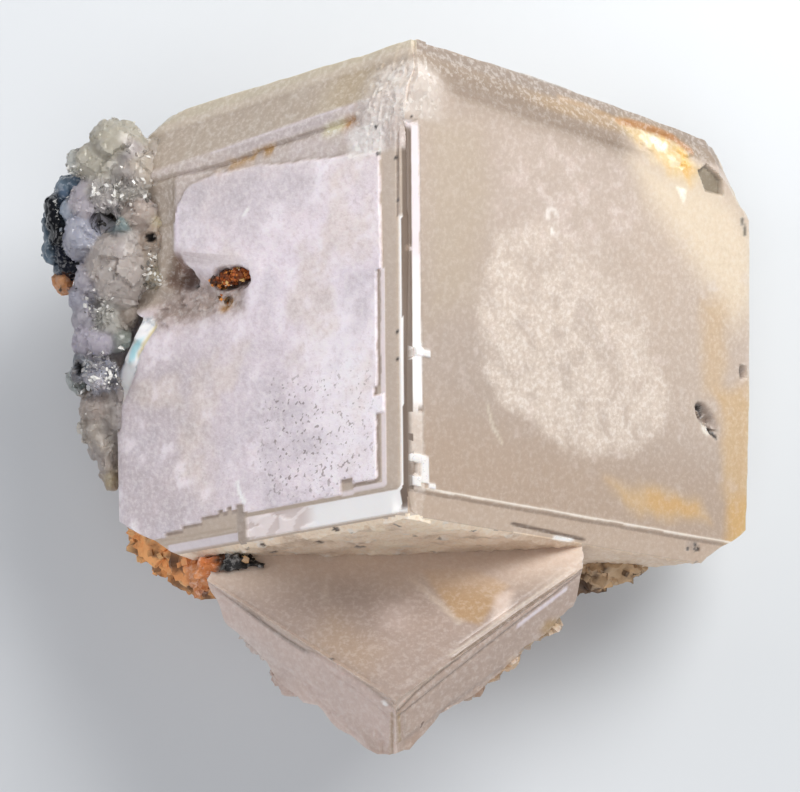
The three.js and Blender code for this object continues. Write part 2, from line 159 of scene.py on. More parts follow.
def facets(points, width, seed):
    """Small flat facets, each tilted its own way: about -1 to 1."""
    _, number, way = cells(points, width, seed)
    tilt = np.stack([np.cos(number * turn) for turn in (41, 97, 163)], axis=-1)
    return 0.7 * (2 * number - 1) + 0.9 * np.sum(way * tilt, axis=-1)


def flat(a, b):
    """Face coordinates as points, for noise."""
    return np.stack([a, b, np.zeros_like(a)], axis=-1)


def blocky(along, width, seed):
    """Numbers from -1 to 1 that stay the same over each stretch of the given width."""
    cell = np.floor(along / width).astype(np.int64)
    zero = np.zeros_like(cell)
    return 2 * lattice(np.stack([cell, zero, zero], axis=-1), seed) - 1


def rise(value, start, end):
    """0 before start, 1 after end, and smooth between them."""
    part = np.clip((value - start) / (end - start), 0, 1)
    return part * part * (3 - 2 * part)


def fall(value, start, end):
    """1 before start, 0 after end, and smooth between them."""
    return 1 - rise(value, start, end)


def band(value, low, high, blur):
    """1 from low to high, fading to 0 over the blur on both sides."""
    return rise(value, low - blur, low + blur) * fall(value, high - blur, high + blur)


def bell(value, width):
    """1 where the value is 0, fading to 0 on both sides over about twice the width."""
    return np.exp(-((value / width) ** 2))


def to_line(a, b, points):
    """Distance to a broken line."""
    nearest = np.full(np.shape(a), 1e9)
    for (a0, b0), (a1, b1) in zip(points, points[1:]):
        da, db = a1 - a0, b1 - b0
        part = np.clip(((a - a0) * da + (b - b0) * db) / (da * da + db * db), 0, 1)
        nearest = np.minimum(nearest, np.hypot(a - a0 - part * da, b - b0 - part * db))
    return nearest


def line(a, b, points, width, blur):
    """1 on a broken line of the given width."""
    return fall(to_line(a, b, points), width / 2, width / 2 + blur)


def patch(a, b, outline, blur):
    """1 inside an outline, 0 outside it, fading over the blur on both sides of it."""
    inside = np.zeros(np.shape(a), bool)
    closed = [*outline, outline[0]]
    for (a0, b0), (a1, b1) in zip(closed, closed[1:]):
        crosses = (b0 > b) != (b1 > b)
        with np.errstate(divide="ignore", invalid="ignore"):
            inside ^= crosses & (a < (a1 - a0) * (b - b0) / (b1 - b0) + a0)
    distance = to_line(a, b, closed)
    return rise(np.where(inside, distance, -distance), -blur, blur)


def spot(a, b, centre, radii, turn=0.0):
    """1 at the centre of an ellipse, 0 at its rim."""
    da, db = a - centre[0], b - centre[1]
    angle = math.radians(turn)
    along = da * math.cos(angle) + db * math.sin(angle)
    across = db * math.cos(angle) - da * math.sin(angle)
    return 1 - np.clip(np.hypot(along / radii[0], across / radii[1]), 0, 1)


def rounded_inside(x, y, radius):
    """How far inside a corner with a rounded tip a place is; x and y are its distances inside
    the two sides."""
    tip = radius - np.hypot(np.clip(radius - x, 0, None), np.clip(radius - y, 0, None))
    return np.where((x < radius) & (y < radius), tip, np.minimum(x, y))


# Solids


class Face:
    """A flat crystal face: its origin, two directions along it, and about which way is out."""

    def __init__(self, origin, first, second, out):
        self.origin = np.asarray(origin, float)
        self.first, self.second = unit(first), unit(second)
        across = unit(np.cross(self.first, self.second))
        self.rightway = across @ out > 0
        self.normal = across if self.rightway else -across
        self.inverse = np.linalg.inv(np.array((self.first, self.second, self.normal)).T)

    def place(self, a, b, height=0.0):
        ways = zip(np.broadcast_arrays(a, b, height), (self.first, self.second, self.normal))
        return sum((part[..., None] * way for part, way in ways), self.origin)

    def measure(self, points):
        return np.moveaxis((points - self.origin) @ self.inverse.T, -1, 0)


def stops(*spans):
    """Grid lines: each span is where it starts, where it ends and the distance between lines."""
    values = [np.arange(start, end - step / 4, step) for start, end, step in spans]
    return np.concatenate([*values, [spans[-1][1]]])


def link(name, data):
    """A new object in the scene."""
    thing = bpy.data.objects.new(name, data)
    bpy.context.scene.collection.objects.link(thing)
    return thing


def bake(piece):
    """Replaces a piece's mesh with what its modifiers make of it."""
    bpy.context.view_layer.update()
    ready = piece.evaluated_get(bpy.context.evaluated_depsgraph_get())
    mesh = bpy.data.meshes.new_from_object(ready)
    piece.modifiers.clear()
    old, piece.data = piece.data, mesh
    bpy.data.meshes.remove(old)


@contextlib.contextmanager
def edited(mesh):
    """A mesh opened for editing, and stored again afterwards."""
    form = bmesh.new()
    form.from_mesh(mesh)
    yield form
    form.to_mesh(mesh)
    form.free()


def stored(items, name, width=1, kind=np.float32):
    """What a mesh stores for each of its items, as an array."""
    values = np.empty(len(items) * width, kind)
    items.foreach_get(name, values)
    return values if width == 1 else values.reshape(-1, width).astype(float)


def vertex_places(mesh):
    return stored(mesh.vertices, "co", 3) / MM - NEAR_CORNER


def solid(name, vertices, faces):
    """A mesh object from millimetres measured from the near corner."""
    mesh = bpy.data.meshes.new(name)
    mesh.from_pydata(((np.asarray(vertices) + NEAR_CORNER) * MM).tolist(), [], faces)
    mesh.update()
    return link(name, mesh)


def slab(face, a_lines, b_lines, height, depth):
    """A closed solid under a height map that lies on a face."""
    a, b = np.meshgrid(a_lines, b_lines, indexing="ij")
    rows, columns = a.shape
    top = face.place(a, b, height(a, b)).reshape(-1, 3)
    index = np.arange(rows * columns).reshape(rows, columns)
    rim = np.concatenate([index[:-1, 0], index[-1, :-1], index[:0:-1, -1], index[0, :0:-1]])
    base = face.place(a.ravel()[rim], b.ravel()[rim], -float(depth))
    quads = np.stack([index[:-1, :-1], index[1:, :-1], index[1:, 1:], index[:-1, 1:]], axis=-1)
    quads = quads.reshape(-1, 4).tolist()
    below = np.arange(len(rim)) + rows * columns
    for i in range(len(rim)):
        j = (i + 1) % len(rim)
        quads.append([rim[j], rim[i], below[i], below[j]])
    quads.append(below[::-1].tolist())
    if not face.rightway:
        quads = [quad[::-1] for quad in quads]
    return solid("slab", np.vstack([top, base]), quads)


def convex(planes):
    """The convex solid behind all the planes; a plane is a normal and a distance."""
    normals = np.array([normal for normal, _ in planes])
    distances = np.array([distance for _, distance in planes])
    corners = []
    for trio in itertools.combinations(range(len(planes)), 3):
        matrix = normals[list(trio)]
        if abs(np.linalg.det(matrix)) > 1e-6:
            corner = np.linalg.solve(matrix, distances[list(trio)])
            if np.all(normals @ corner < distances + 1e-6):
                corners.append(corner)
    return hull(corners)


def hull(points):
    """The convex hull of points."""
    mesh = bpy.data.meshes.new("hull")
    with edited(mesh) as form:
        for point in points:
            form.verts.new((np.asarray(point) + NEAR_CORNER) * MM)
        bmesh.ops.remove_doubles(form, verts=form.verts, dist=1e-7)
        made = bmesh.ops.convex_hull(form, input=form.verts)
        loose = [v for v in made["geom_interior"] + made["geom_unused"] if v.is_valid]
        bmesh.ops.delete(form, geom=list(set(loose)), context="VERTS")
        bmesh.ops.recalc_face_normals(form, faces=form.faces)
    return link("hull", mesh)


def combine(base, others, operation):
    """Joins, cuts or crosses solids, one after another, and removes the used ones."""
    for other in others:
        change = base.modifiers.new("change", "BOOLEAN")
        change.operation = operation
        change.solver = "MANIFOLD"
        change.object = other
        bake(base)
        used = other.data
        bpy.data.objects.remove(other)
        bpy.data.meshes.remove(used)
        if not len(base.data.polygons):
            raise RuntimeError(f"{operation} left nothing of {base.name}")
    return base


def through(normal, point, offset=0.0):
    """A plane through a point."""
    return normal, float(normal @ np.asarray(point)) + offset


def walls(point, reach, *sides):
    """Planes square to the axes, at a reach around a point."""
    return [through(np.array(side, float), point, reach) for side in sides]


def finish_mesh(piece, angle=28.0):
    """Merges doubles, and shades smooth between creases sharper than an angle in degrees."""
    mesh = piece.data
    with edited(mesh) as form:
        bmesh.ops.remove_doubles(form, verts=form.verts, dist=2e-6)
        bmesh.ops.dissolve_degenerate(form, dist=1e-6, edges=form.edges)
    mesh.validate()
    mesh.polygons.foreach_set("use_smooth", np.ones(len(mesh.polygons), bool))
    mesh.set_sharp_from_angle(angle=math.radians(angle))
    mesh.update()


# Main crystal

LEFT_FACE = Face((0, 0, 0), EDGE_LEFT, EDGE_UP, LEFT_NORMAL)
RIGHT_FACE = Face((0, 0, 0), EDGE_RIGHT, EDGE_UP, RIGHT_NORMAL)
UNDER_FACE = Face(UNDER_NORMAL * UNDER_EXTENT, EDGE_LEFT, EDGE_RIGHT, UNDER_NORMAL)

# The planes of the bevelled bands above the two faces, and where the far faces lie
LEFT_BAND = through(turned(LEFT_NORMAL, EDGE_LEFT, BAND_LEAN), EDGE_UP * LEFT_BAND_START)
RIGHT_BAND = through(turned(RIGHT_NORMAL, EDGE_RIGHT, -BAND_LEAN), EDGE_UP * RIGHT_BAND_START)
LEFT_END = LEFT_FACE.place(LEFT_EXTENT, 14)
RIGHT_END = RIGHT_FACE.place(RIGHT_EXTENT, 14)

# Planes of the broken corners: a normal, and a place on a face with its height above it
BROKEN_CORNERS = [
    ((-0.98, 0.15, 0.12), LEFT_FACE, (23.1, 27.6, -1.6)),
    ((-0.66, 0.74, 0.15), LEFT_FACE, (22.96, 28.43, -1.6)),
    ((-0.42, -0.9, -0.02), LEFT_FACE, (22, 1.1, 0)),
    ((0.53, 0.81, 0.26), RIGHT_FACE, (27.43, 30.02, -1.58)),
    ((0.85, 0.44, 0.27), RIGHT_FACE, (29.38, 29.44, -1.27)),
    ((0.86, 0.43, 0.26), RIGHT_FACE, (30.3, 23.94, 1.71)),
    ((0.2, -0.9, -0.45), RIGHT_FACE, (31, 1.6, 0)),
]

# Growth layers of the left face: how far out from the ridge each ends at each height, and how
# far up from the bottom at each distance from the ridge
PLATE_SIDE = [(-9, 2.25), (6.3, 1.57), (7.4, 2.4), (8.0, 2.12), (15.4, 1.74), (19.4, 1.8)]
PLATE_BOTTOM = [
    (-9, 2.15), (4.25, 2.55), (5.2, 1.55), (12.9, 1.62), (13.35, 2.2), (14.0, 1.9), (14.35, 2.2),
    (14.75, 1.9), (15.1, 2.1), (15.5, 1.85), (16.9, 1.5), (18.6, 1.25), (20.2, 0.9), (22.4, 0.3),
]
PLATE_TOP = [
    (-1, 22.4), (3.9, 22.9), (4.6, 23.1), (8, 23.5), (11.65, 24.0), (15.5, 24.35),
    (17.0, 24.2), (18.0, 23.8), (18.7, 23.0), (18.9, 22.0), (26, 22.0),
]
TOP_GROOVE = [(0, 25.2), (4, 25.1), (10.5, 24.95), (14.7, 24.65), (18, 24.9), (26, 25.2)]
LILAC_STRIP_TOP = [(0, 26.1), (6.4, 26.05), (18.5, 25.7), (26, 25.6)]


def steps(value, table):
    """The second number of the last row whose first number isn't past the value."""
    starts, levels = np.array(table).T
    return levels[np.clip(np.searchsorted(starts, value, side="right") - 1, 0, None)]


def along(value, table):
    """Numbers read off a table of points joined by straight lines."""
    return np.interp(value, *np.array(table).T)


def terraces(a, b, seed, width, step, reach):
    """Nested flat growth layers with corners like the face's own, around three hills."""
    wander = 0.25 * rough_noise(flat(a, b), 2.5, seed)
    lowest = np.full(np.shape(a), 99.0)
    for hill in range(3):
        place = lattice(np.array([[hill, 1, 2], [hill, 3, 4]]), seed) * 2 - 1
        from_hill = np.maximum(np.abs(a - place[0] * reach), np.abs(b - place[1] * reach))
        lowest = np.minimum(lowest, from_hill / width + wander)
    level = np.floor(lowest)
    return -step * (level + rise(lowest - level, 0.85, 1.0))


def left_layers(a, b):
    """How far inside each growth layer of the left face a place is, from the lowest layer up."""
    side = steps(b + 0.1 * blocky(b, 0.31, 3), PLATE_SIDE) + 0.04 * blocky(b, 0.4, 1)
    bottom = steps(a, PLATE_BOTTOM) + 0.03 * blocky(a, 0.5, 2)
    gap = band(a, 13.2, 13.9, 0.05)
    shelf_bottom = np.where(a < 13.5, 1.36, 0.45) - 1.45 * gap
    ledge_bottom = np.where(a < 4.2, 1.55, np.where(a < 13.5, 1.4, 0.72)) - 0.4 * gap
    strip = rounded_inside(a - 0.61, b - shelf_bottom, 0.4)
    ledge = rounded_inside(a - 1.52 - 0.22 * rise(b, 15.3, 15.4), b - ledge_bottom, 0.3)
    plate = rounded_inside(a - side, b - bottom, 0.2)
    ragged = 0.12 * smooth_noise(flat(a, b), 0.8, 4)
    plate = np.minimum(plate, (along(a, PLATE_TOP) - b + ragged) * 0.6)
    return strip, ledge, plate


def left_height(look, a, b):
    """Height of the left face's surface above its plane."""
    strip, ledge, plate = left_layers(a, b)
    place = flat(a, b)
    upper = rise(b, 18.2, 18.5)
    tilt = 0.3 * (1 - 0.6 * upper) * (1 - 0.7 * rise(a, 0.7, 1.4))
    height = -0.02 + tilt * np.minimum(strip, 0) + 0.05 * np.clip(strip, 0, 1)
    height = height + 0.05 * rise(ledge, 0, 0.1) + 0.05 * rise(strip, 0, 0.08)
    height = height + look.plate_height / MM * rise(plate, 0, 0.12)
    height -= 0.06 * line(a, b, DARK_LINE, 0.06, 0.1)
    height -= 0.3 * fall(a, 0.22, 0.31) * band(b, 9, 23.8, 0.4) * rise(b, 8, 17)
    height -= 0.9 * np.clip(-0.12 - b, 0, None)
    # facets that interrupt the bottom band
    facet = facets(place * (1, 1.6, 1), 1.3, 5)
    height += 0.07 * facet * band(a, 7.5, 13.2, 0.4) * fall(b, 1.1, 1.35)
    # the margin above the plate, the rusty groove, the lilac strip and the bevelled band
    groove = along(a, TOP_GROOVE)
    strip_top = along(a, LILAC_STRIP_TOP)
    height -= 0.1 * rise(b, groove - 1.0, groove) * rise(a, 2.5, 4.5)
    height -= look.groove_depth / MM * bell(b - groove, 0.16) * rise(a, 3.0, 4.5)
    height -= 0.25 * np.clip(np.minimum(b, strip_top) - groove, 0, None)
    height += 0.07 * band(b, strip_top - 0.3, strip_top, 0.08) * rise(a, 3.5, 6)
    height -= 0.62 * np.clip(b - strip_top, 0, None)
    height += 0.12 * rise(b, 28.3, 28.7)
    # the rounded left margin, where the small crystals sit
    margin = rise(a, 18.8, 19.3) * band(b, 16.8, 24.6, 0.6)
    height -= margin * (0.2 + 0.16 * np.clip(a - 19, 0, 5))
    # the slope that falls from the lower plate into the pocket, and the hollow beside it
    slope = patch(a, b, SLOPE, 0.8)
    height -= slope * (0.15 + 0.3 * np.clip(b - 15.1, 0, 3.5))
    height += slope * (0.1 * facets(place * (1, 2, 1), 1.1, 6) + 0.08 * facets(place, 0.4, 7))
    ragged = 0.5 * rough_noise(place, 0.9, 17)
    height -= 1.5 * rise(spot(a + ragged, b + ragged, (18.1, 17.9), (1.3, 0.95), 30), 0, 0.8)
    height -= 0.8 * rise(spot(a, b, (19.2, 18.6), (1.4, 1.6), 10), 0, 0.9)
    torn = 0.25 * rough_noise(place, 0.6, 16)
    height -= 1.0 * patch(a + torn, b + torn, POCKET, 0.25)
    height -= 0.5 * rise(spot(a, b, (14.7, 15.7), (0.6, 0.6), 60), 0, 0.6)
    rim = to_line(a, b, SLOPE_RIM)
    lumpy = 0.55 + 0.45 * smooth_noise(place, 0.9, 8) + 0.25 * facets(place, 0.6, 9)
    height += 0.34 * bell(rim, 0.5) * lumpy
    # the flake on the left edge: small cleavage steps that face the light
    up_flake = 0.58 * (24.35 - a) + 0.814 * (b - 10.2)
    height -= patch(a, b, FLAKE, 0.1) * (0.06 + 0.09 * (up_flake % 1.55))
    # rounding towards the left silhouette
    height -= 0.3 * rise(a, 23.2, 24.9) ** 2
    # frosted faces are never quite flat
    height += 0.016 * rough_noise(place, 1.4, 11) + 0.025 * smooth_noise(place, 5, 12)
    rough = rise(b, 22.3, 23.2) * fall(a, 3.2, 5.0) * fall(b, 28.2, 28.6)
    height += 0.07 * rough * facets(place, 0.3, 13) + 0.08 * rough * rough_noise(place, 1.5, 15, 2)
    height += 0.03 * rise(b, 26, 27) * rough_noise(place, 0.9, 14)
    return height


POCKET = [(16.0, 17.1), (14.9, 16.6), (13.2, 16.5), (12.6, 16.8), (12.8, 17.5), (13.8, 17.8),
          (15.3, 17.9)]
FLAKE = [(20.65, 15.3), (22.2, 13.7), (22.4, 12.9), (23.6, 11.0), (24.4, 10.2), (25.4, 10.4),
         (24.6, 12.8), (24.0, 14.2), (22.7, 16.1), (21.2, 16.0)]
SLOPE = [(21.9, 15.2), (20.5, 17.0), (17.8, 17.9), (13.1, 16.5), (13.2, 14.9), (17, 14.9),
         (20.6, 15.1)]

# Lines on the left face: the rim of the slope, and the dark line beside the ridge
SLOPE_RIM = [(12.2, 17.4), (13.5, 18.1), (15.5, 18.6), (17.2, 19.0), (18.5, 19.9)]
DARK_LINE = [(0.62, 18.4), (0.58, 23.4)]

# Lines on the right face: a scratch, and the crack in the lower band
SCRATCH = [(6.9, 7.6), (7.4, 6.2), (8.2, 5.3)]
LOWER_CRACK = [(9.3, 0.12), (12.6, 0.0), (15.9, -0.14)]
# The large pit of the right face: its place, radii and turn
PIT = (28.1, 9.8), (1.7, 0.9), -40

# Outlines on the right face
FROSTED_PATCH = [(8.1, 19.0), (5.9, 14.1), (6.3, 11), (8, 8), (13.5, 5.6), (19.2, 5.7),
                 (23.7, 8.4), (23.7, 11.9), (21.2, 16.9), (17.3, 20.2), (11.7, 20.4)]
GOLDEN_CORNER = [(20.6, 28.5), (24.5, 28.7), (26.2, 28.4), (27.2, 27.1), (26.3, 26.0),
                 (24.4, 26.4), (22.5, 27.3)]
DARK_CHIP = [(27.3, 26.9), (28.4, 27.6), (29.7, 26.9), (29.8, 25.8), (28.0, 25.7)]
# Small blocks and chips beside the ridge: out, up, and how much higher than the face
RIDGE_BLOCKS = [
    (0.4, 1.25, 3.0, 3.55, 0.12), (0.5, 0.95, 2.2, 2.95, -0.12), (1.2, 1.75, 1.75, 3.45, 0.1),
    (0.55, 1.15, 1.5, 2.1, 0.15), (0.35, 0.85, 9.55, 10.15, -0.22), (0.85, 1.95, 9.7, 10.2, 0.13),
    (1.1, 1.4, 6.2, 6.5, -0.1), (0.3, 0.7, 16.2, 16.5, -0.12), (1.7, 2.3, 1.5, 1.8, 0.1),
]


def strip_edge(b):
    """How far out the bright strip beside the ridge reaches on the right face."""
    return 1.22 + 0.14 * rise(16 - b, 0, 9) + 0.1 * rise(6.5 - b, 0, 1) + 0.03 * blocky(b, 0.7, 21)


def lip_line(a):
    """How high the thin lip along the bottom of the right face runs."""
    return 1.42 + 0.03 * blocky(a, 1.3, 22)


def valley_line(a, b):
    return RIGHT_BAND_START + 0.35 - 0.02 * a + 0.15 * smooth_noise(flat(a, b), 5, 24)


def right_height(a, b):
    """Height of the right face's surface above its plane."""
    place = flat(a, b)
    edge = strip_edge(b)
    height = -0.3 * np.clip(edge - a, 0, None) - 0.05 * fall(a - edge, 0, 0.08)
    groove = 0.24 * fall(b, 8, 17)
    height -= 0.3 * fall(a, groove, groove + 0.09) * fall(b, 23.6, 24.1)
    lip = lip_line(a)
    height += 0.04 * band(b, lip - 0.12, lip + 0.1, 0.04) * rise(a, 0.6, 1)
    height -= 0.1 * fall(b, lip - 0.36, lip - 0.16)
    height -= 0.12 * np.clip(lip - 0.36 - b, 0, None)
    height -= 0.8 * np.clip(-0.45 - b, 0, None)
    lower_line = 0.11 - 0.04 * (a - 9.5)
    height -= 0.07 * line(a, b, LOWER_CRACK, 0.12, 0.1)
    height -= 0.05 * fall(b, lower_line - 0.1, lower_line) * band(a, 9.4, 15.8, 0.1)
    for a0, a1, b0, b1, lift in RIDGE_BLOCKS:
        height += lift * band(a, a0, a1, 0.05) * band(b, b0, b1, 0.05)
    # the soft valley under the bevelled band, and the band
    depth = rise(a, 1.5, 4) * fall(a, 20, 24)
    height -= 0.3 * bell(b - valley_line(a, b), 0.7) * depth
    height -= 0.54 * np.clip(b - RIGHT_BAND_START, 0, None)
    height -= 0.15 * bell(b - 28.8, 0.22) * band(a, 17, 27, 2)
    # the broken golden corner, its chip, and the pits
    golden = patch(a, b, GOLDEN_CORNER, 0.9)
    height -= golden * (0.1 + 0.3 * np.abs(facets(place, 0.9, 27)))
    height -= 0.45 * patch(a, b, DARK_CHIP, 0.12)
    height -= 0.6 * rise(spot(a, b, *PIT), 0.0, 0.6) * (0.8 + 0.5 * facets(place, 0.6, 28))
    height -= 0.5 * rise(spot(a, b, (31.9, 13.7), (0.45, 0.6), 10), 0, 0.5)
    height -= 0.12 * rise(spot(a, b, (26.9, 0.55), (0.8, 0.35), 0), 0, 0.5) * facets(place, 0.4, 29)
    ring = np.hypot(a - 12.75, b - 20.9)
    height -= 0.05 * bell(ring - 0.35, 0.12)
    height -= 0.05 * line(a, b, SCRATCH, 0.06, 0.12)
    # rounding at the right silhouette and slight unevenness
    height -= 0.2 * rise(a, 31.8, 33.2) ** 2
    height += 0.012 * rough_noise(place, 1.5, 31) + 0.025 * smooth_noise(place, 6, 32)
    rough = rise(b, 24.3, 25.2) * fall(a, 2.2, 4.0) * fall(b, 28.2, 28.8)
    height += 0.07 * rough * facets(place, 0.3, 33) + 0.08 * rough * rough_noise(place, 1.5, 35, 2)
    height += 0.04 * rise(b, 27.5, 28) * rough_noise(place, 1.0, 34)
    return height


RIDGE_FACE = Face((0, 0, 0), EDGE_RIGHT - EDGE_LEFT, EDGE_UP, LEFT_NORMAL + RIGHT_NORMAL)


def ridge_height(s, b):
    """The floor of the groove that runs up the near edge, level with the faces at its top."""
    place = RIDGE_FACE.place(s, b)
    depth = 0.03 + (RIDGE_DEPTH - 0.03) * fall(b, 23.7, 24.3) - 0.25 * rise(b, 25, 26.5)
    heights = [
        (distance - depth - place @ normal) / (normal @ RIDGE_FACE.normal)
        for normal, distance in ((LEFT_NORMAL, 0.0), (RIGHT_NORMAL, 0.0), LEFT_BAND, RIGHT_BAND)
    ]
    rough = 0.06 * rise(b, 24, 25) * facets(flat(s, b), 0.33, 36)
    return np.min(heights, axis=0) + rough


def under_height(a, b):
    """The under face is rough and stepped."""
    place = flat(a, b)
    height = 0.1 * rough_noise(place, 2.2, 41, 4) + 0.1 * facets(place, 1.1, 43)
    chips = cells(place, 0.5, 44)[1]
    height += 0.1 * (chips > 0.955) * fall(b, 9, 12)
    height += 0.05 * facets(place, 0.5, 45)
    return height + terraces(a, b, 42, width=2.4, step=0.05, reach=12) + 0.1


def hidden_height(a, b, seed):
    """Height of a face that the photo doesn't show: growth steps and soft waves."""
    place = flat(a, b)
    waves = 0.05 * smooth_noise(place, 7, seed) + 0.03 * rough_noise(place, 1.6, seed + 1)
    return waves + terraces(a, b, seed + 2, width=2.6, step=0.1, reach=13)


def broken_height(a, b, seed):
    """Height of a broken corner: small flat cleavage steps."""
    place = flat(a, b)
    step = cells(place * (1, 2.2, 1), 1.7, seed)[1]
    return 0.24 * step - 0.2 + 0.05 * rough_noise(place, 0.8, seed + 1)


def cut_by(piece, normal, point, height, size, step, seed):
    """Keeps what is behind an uneven plane through a point. The plane's fine part is size across,
    on a grid with the given step."""
    across = unit(np.cross(normal, UP if abs(normal[2]) < 0.9 else EDGE_UP))
    face = Face(point, across, np.cross(normal, across), normal)
    half = size / 2
    grid = stops((-half - 60, -half, 60), (-half, half, step), (half, half + 60, 60))
    cutter = slab(face, grid, grid, lambda a, b: height(a, b, seed), depth=70)
    combine(piece, [cutter], "INTERSECT")


def main_crystal(look):
    wide = 80.0
    outer = [
        (UNDER_NORMAL, wide), (-UNDER_NORMAL, wide), (-LEFT_NORMAL, wide), (-RIGHT_NORMAL, wide),
        (-UP, -FLOOR_LEVEL + 3.0),
    ]
    core = convex([
        (LEFT_NORMAL, -CORE_DEPTH), (RIGHT_NORMAL, -CORE_DEPTH),
        (LEFT_BAND[0], LEFT_BAND[1] - CORE_DEPTH), (RIGHT_BAND[0], RIGHT_BAND[1] - CORE_DEPTH),
        *outer,
    ])
    ridge = slab(
        RIDGE_FACE, stops((-1.5, 1.5, 0.15)), stops((-2.5, 32, 0.15)), ridge_height, depth=5)
    left_slab = slab(
        LEFT_FACE, stops((0.1, 2.8, 0.09), (2.8, 24.0, 0.19), (24.0, 27.0, 0.4)),
        stops((-1.8, 2.8, 0.09), (2.8, 14.6, 0.19), (14.6, 19.6, 0.13), (19.6, 22.0, 0.18),
              (22.0, 31.5, 0.14)),
        lambda a, b: left_height(look, a, b), depth=7,
    )
    right_slab = slab(
        RIGHT_FACE, stops((0.13, 2.35, 0.09), (2.4, 26.0, 0.2), (26.0, 30.0, 0.14), (30, 35, 0.3)),
        stops((-1.8, 1.9, 0.09), (1.9, 3.7, 0.14), (3.7, 8.4, 0.2), (8.4, 11.2, 0.14),
              (11.2, 24.4, 0.22), (24.4, 32, 0.15)),
        right_height, depth=7,
    )
    # each face's slab stays behind the other face and its bevelled band
    around = [*outer, (LEFT_NORMAL, wide), (RIGHT_NORMAL, wide)]
    for piece, normal, bevel in (
        (left_slab, RIGHT_NORMAL, RIGHT_BAND), (right_slab, LEFT_NORMAL, LEFT_BAND),
    ):
        behind = convex([(normal, -0.02), (bevel[0], bevel[1] - 0.05), *around])
        combine(piece, [behind], "INTERSECT")
    combine(core, [ridge, left_slab, right_slab], "UNION")
    # nothing stands further out than these planes
    limits = convex([
        (LEFT_NORMAL, PLATE_HEIGHT + 0.06), (RIGHT_NORMAL, 0.16),
        (LEFT_BAND[0], LEFT_BAND[1] + 0.9), (RIGHT_BAND[0], RIGHT_BAND[1] + 0.9), *outer[:4],
        (-UP, -FLOOR_LEVEL),
    ])
    combine(core, [limits], "INTERSECT")
    grid = stops((-60, -3, 57), (-3, 36, 0.3), (36, 90, 54))
    combine(core, [slab(UNDER_FACE, grid, grid, under_height, depth=90)], "INTERSECT")
    for number, (normal, point) in enumerate((
        (-UNDER_NORMAL, -UNDER_NORMAL * TOP_EXTENT), (-LEFT_NORMAL, RIGHT_END),
        (-RIGHT_NORMAL, LEFT_END),
    )):
        cut_by(core, normal, point, hidden_height, size=90, step=0.6, seed=50 + 5 * number)
    for number, (normal, side, place) in enumerate(BROKEN_CORNERS):
        cut_by(core, unit(normal), side.place(*place), broken_height, size=60, step=0.5,
               seed=70 + number)
    # the flake's outer edge is cut off
    top, bottom = LEFT_FACE.place(20.75, 15.25), LEFT_FACE.place(24.35, 10.2)
    outward = unit(np.cross(bottom - top, LEFT_NORMAL))
    ends = [
        through(unit(EDGE_UP - 0.6 * EDGE_LEFT), LEFT_FACE.place(21.9, 16.1)),
        through(-EDGE_UP, LEFT_FACE.place(24, 9.6)),
        through(outward, LEFT_FACE.place(LEFT_EXTENT, 0), 12),
        through(LEFT_NORMAL, (0, 0, 0), 3),
    ]
    edge = unit(outward + LEFT_NORMAL * 0.3)
    rim = [through(-edge, top + outward * 1.3), through(-LEFT_NORMAL, (0, 0, 0), 6.0)]
    return combine(core, [convex([*rim, *ends])], "DIFFERENCE")


# Lower crystal

LOWER_FACE = Face(LOWER_CORNER, LOWER_LEFT_EDGE, LOWER_RIGHT_EDGE, UPPER_OUT)
LOWER_LEFT = Face(LOWER_CORNER, LOWER_LEFT_EDGE, LOWER_DOWN_EDGE, LEFT_OUT)
LOWER_RIGHT = Face(LOWER_CORNER, LOWER_RIGHT_EDGE, LOWER_DOWN_EDGE, RIGHT_OUT)

# The broken sides seen from above, from the near corner
BROKEN_OUTLINE = [
    (-13.6, 0.4), (-13.5, -5.3), (-12.7, -8.1), (-10.8, -9.2), (-9.5, -10.6), (-8.9, -11.6),
    (-7.1, -13.2), (-6, -13.3), (-4.4, -15.0), (-1.9, -16.3), (-0.9, -16.1), (0.2, -15.8),
    (2.1, -13.7), (4, -12.9), (6, -11.4), (7.9, -9.6), (9.9, -8.6), (11.4, -6.8), (12.1, -3.2),
    (12, 0.4),
]
# The outline's scale at each depth below the near corner
BROKEN_LEVELS = [(-4, 1.02), (9, 1.0), (13, 0.95), (17, 0.86), (21, 0.8), (30, 0.72)]

# Lines along the upper edges of the lower crystal's side faces, as distances along and down
LEFT_LINE = [(0.2, 0.75), (2.3, 0.4), (4.4, 0.2), (6.4, 0.3), (7.8, 0.75), (9.5, 0.75),
             (11.7, 0.6), (14.6, 0.25), (17, 0.1)]
RIGHT_LINE = [(0.4, 0.9), (1.8, 0.5), (3.5, 0.3), (5.6, 0.2), (7.8, 0.1), (9.5, 0.02), (18, 0)]
RIGHT_SECOND_LINE = [(0.9, 1.35), (3.0, 1.15), (5.8, 0.95), (11, 0.6), (17, 0.35)]


def lower_upper_height(l, r):
    """The lower crystal's upper face: an inner plate, with growth lines beside its edges."""
    height = 0.04 * rise(np.minimum(l, r), 0.5, 0.65)
    height -= 0.07 * line(l, r, [(0.12, 16), (0.1, 5)], 0.14, 0.14)
    height -= 0.05 * line(l, r, [(0.75, 15.5), (0.7, 6)], 0.06, 0.1)
    height -= 0.06 * line(l, r, [(16, 0.3), (2.0, 0.3)], 0.06, 0.12)
    place = flat(l, r)
    return height + 0.014 * rough_noise(place, 1.4, 81) + 0.025 * smooth_noise(place, 5, 82)


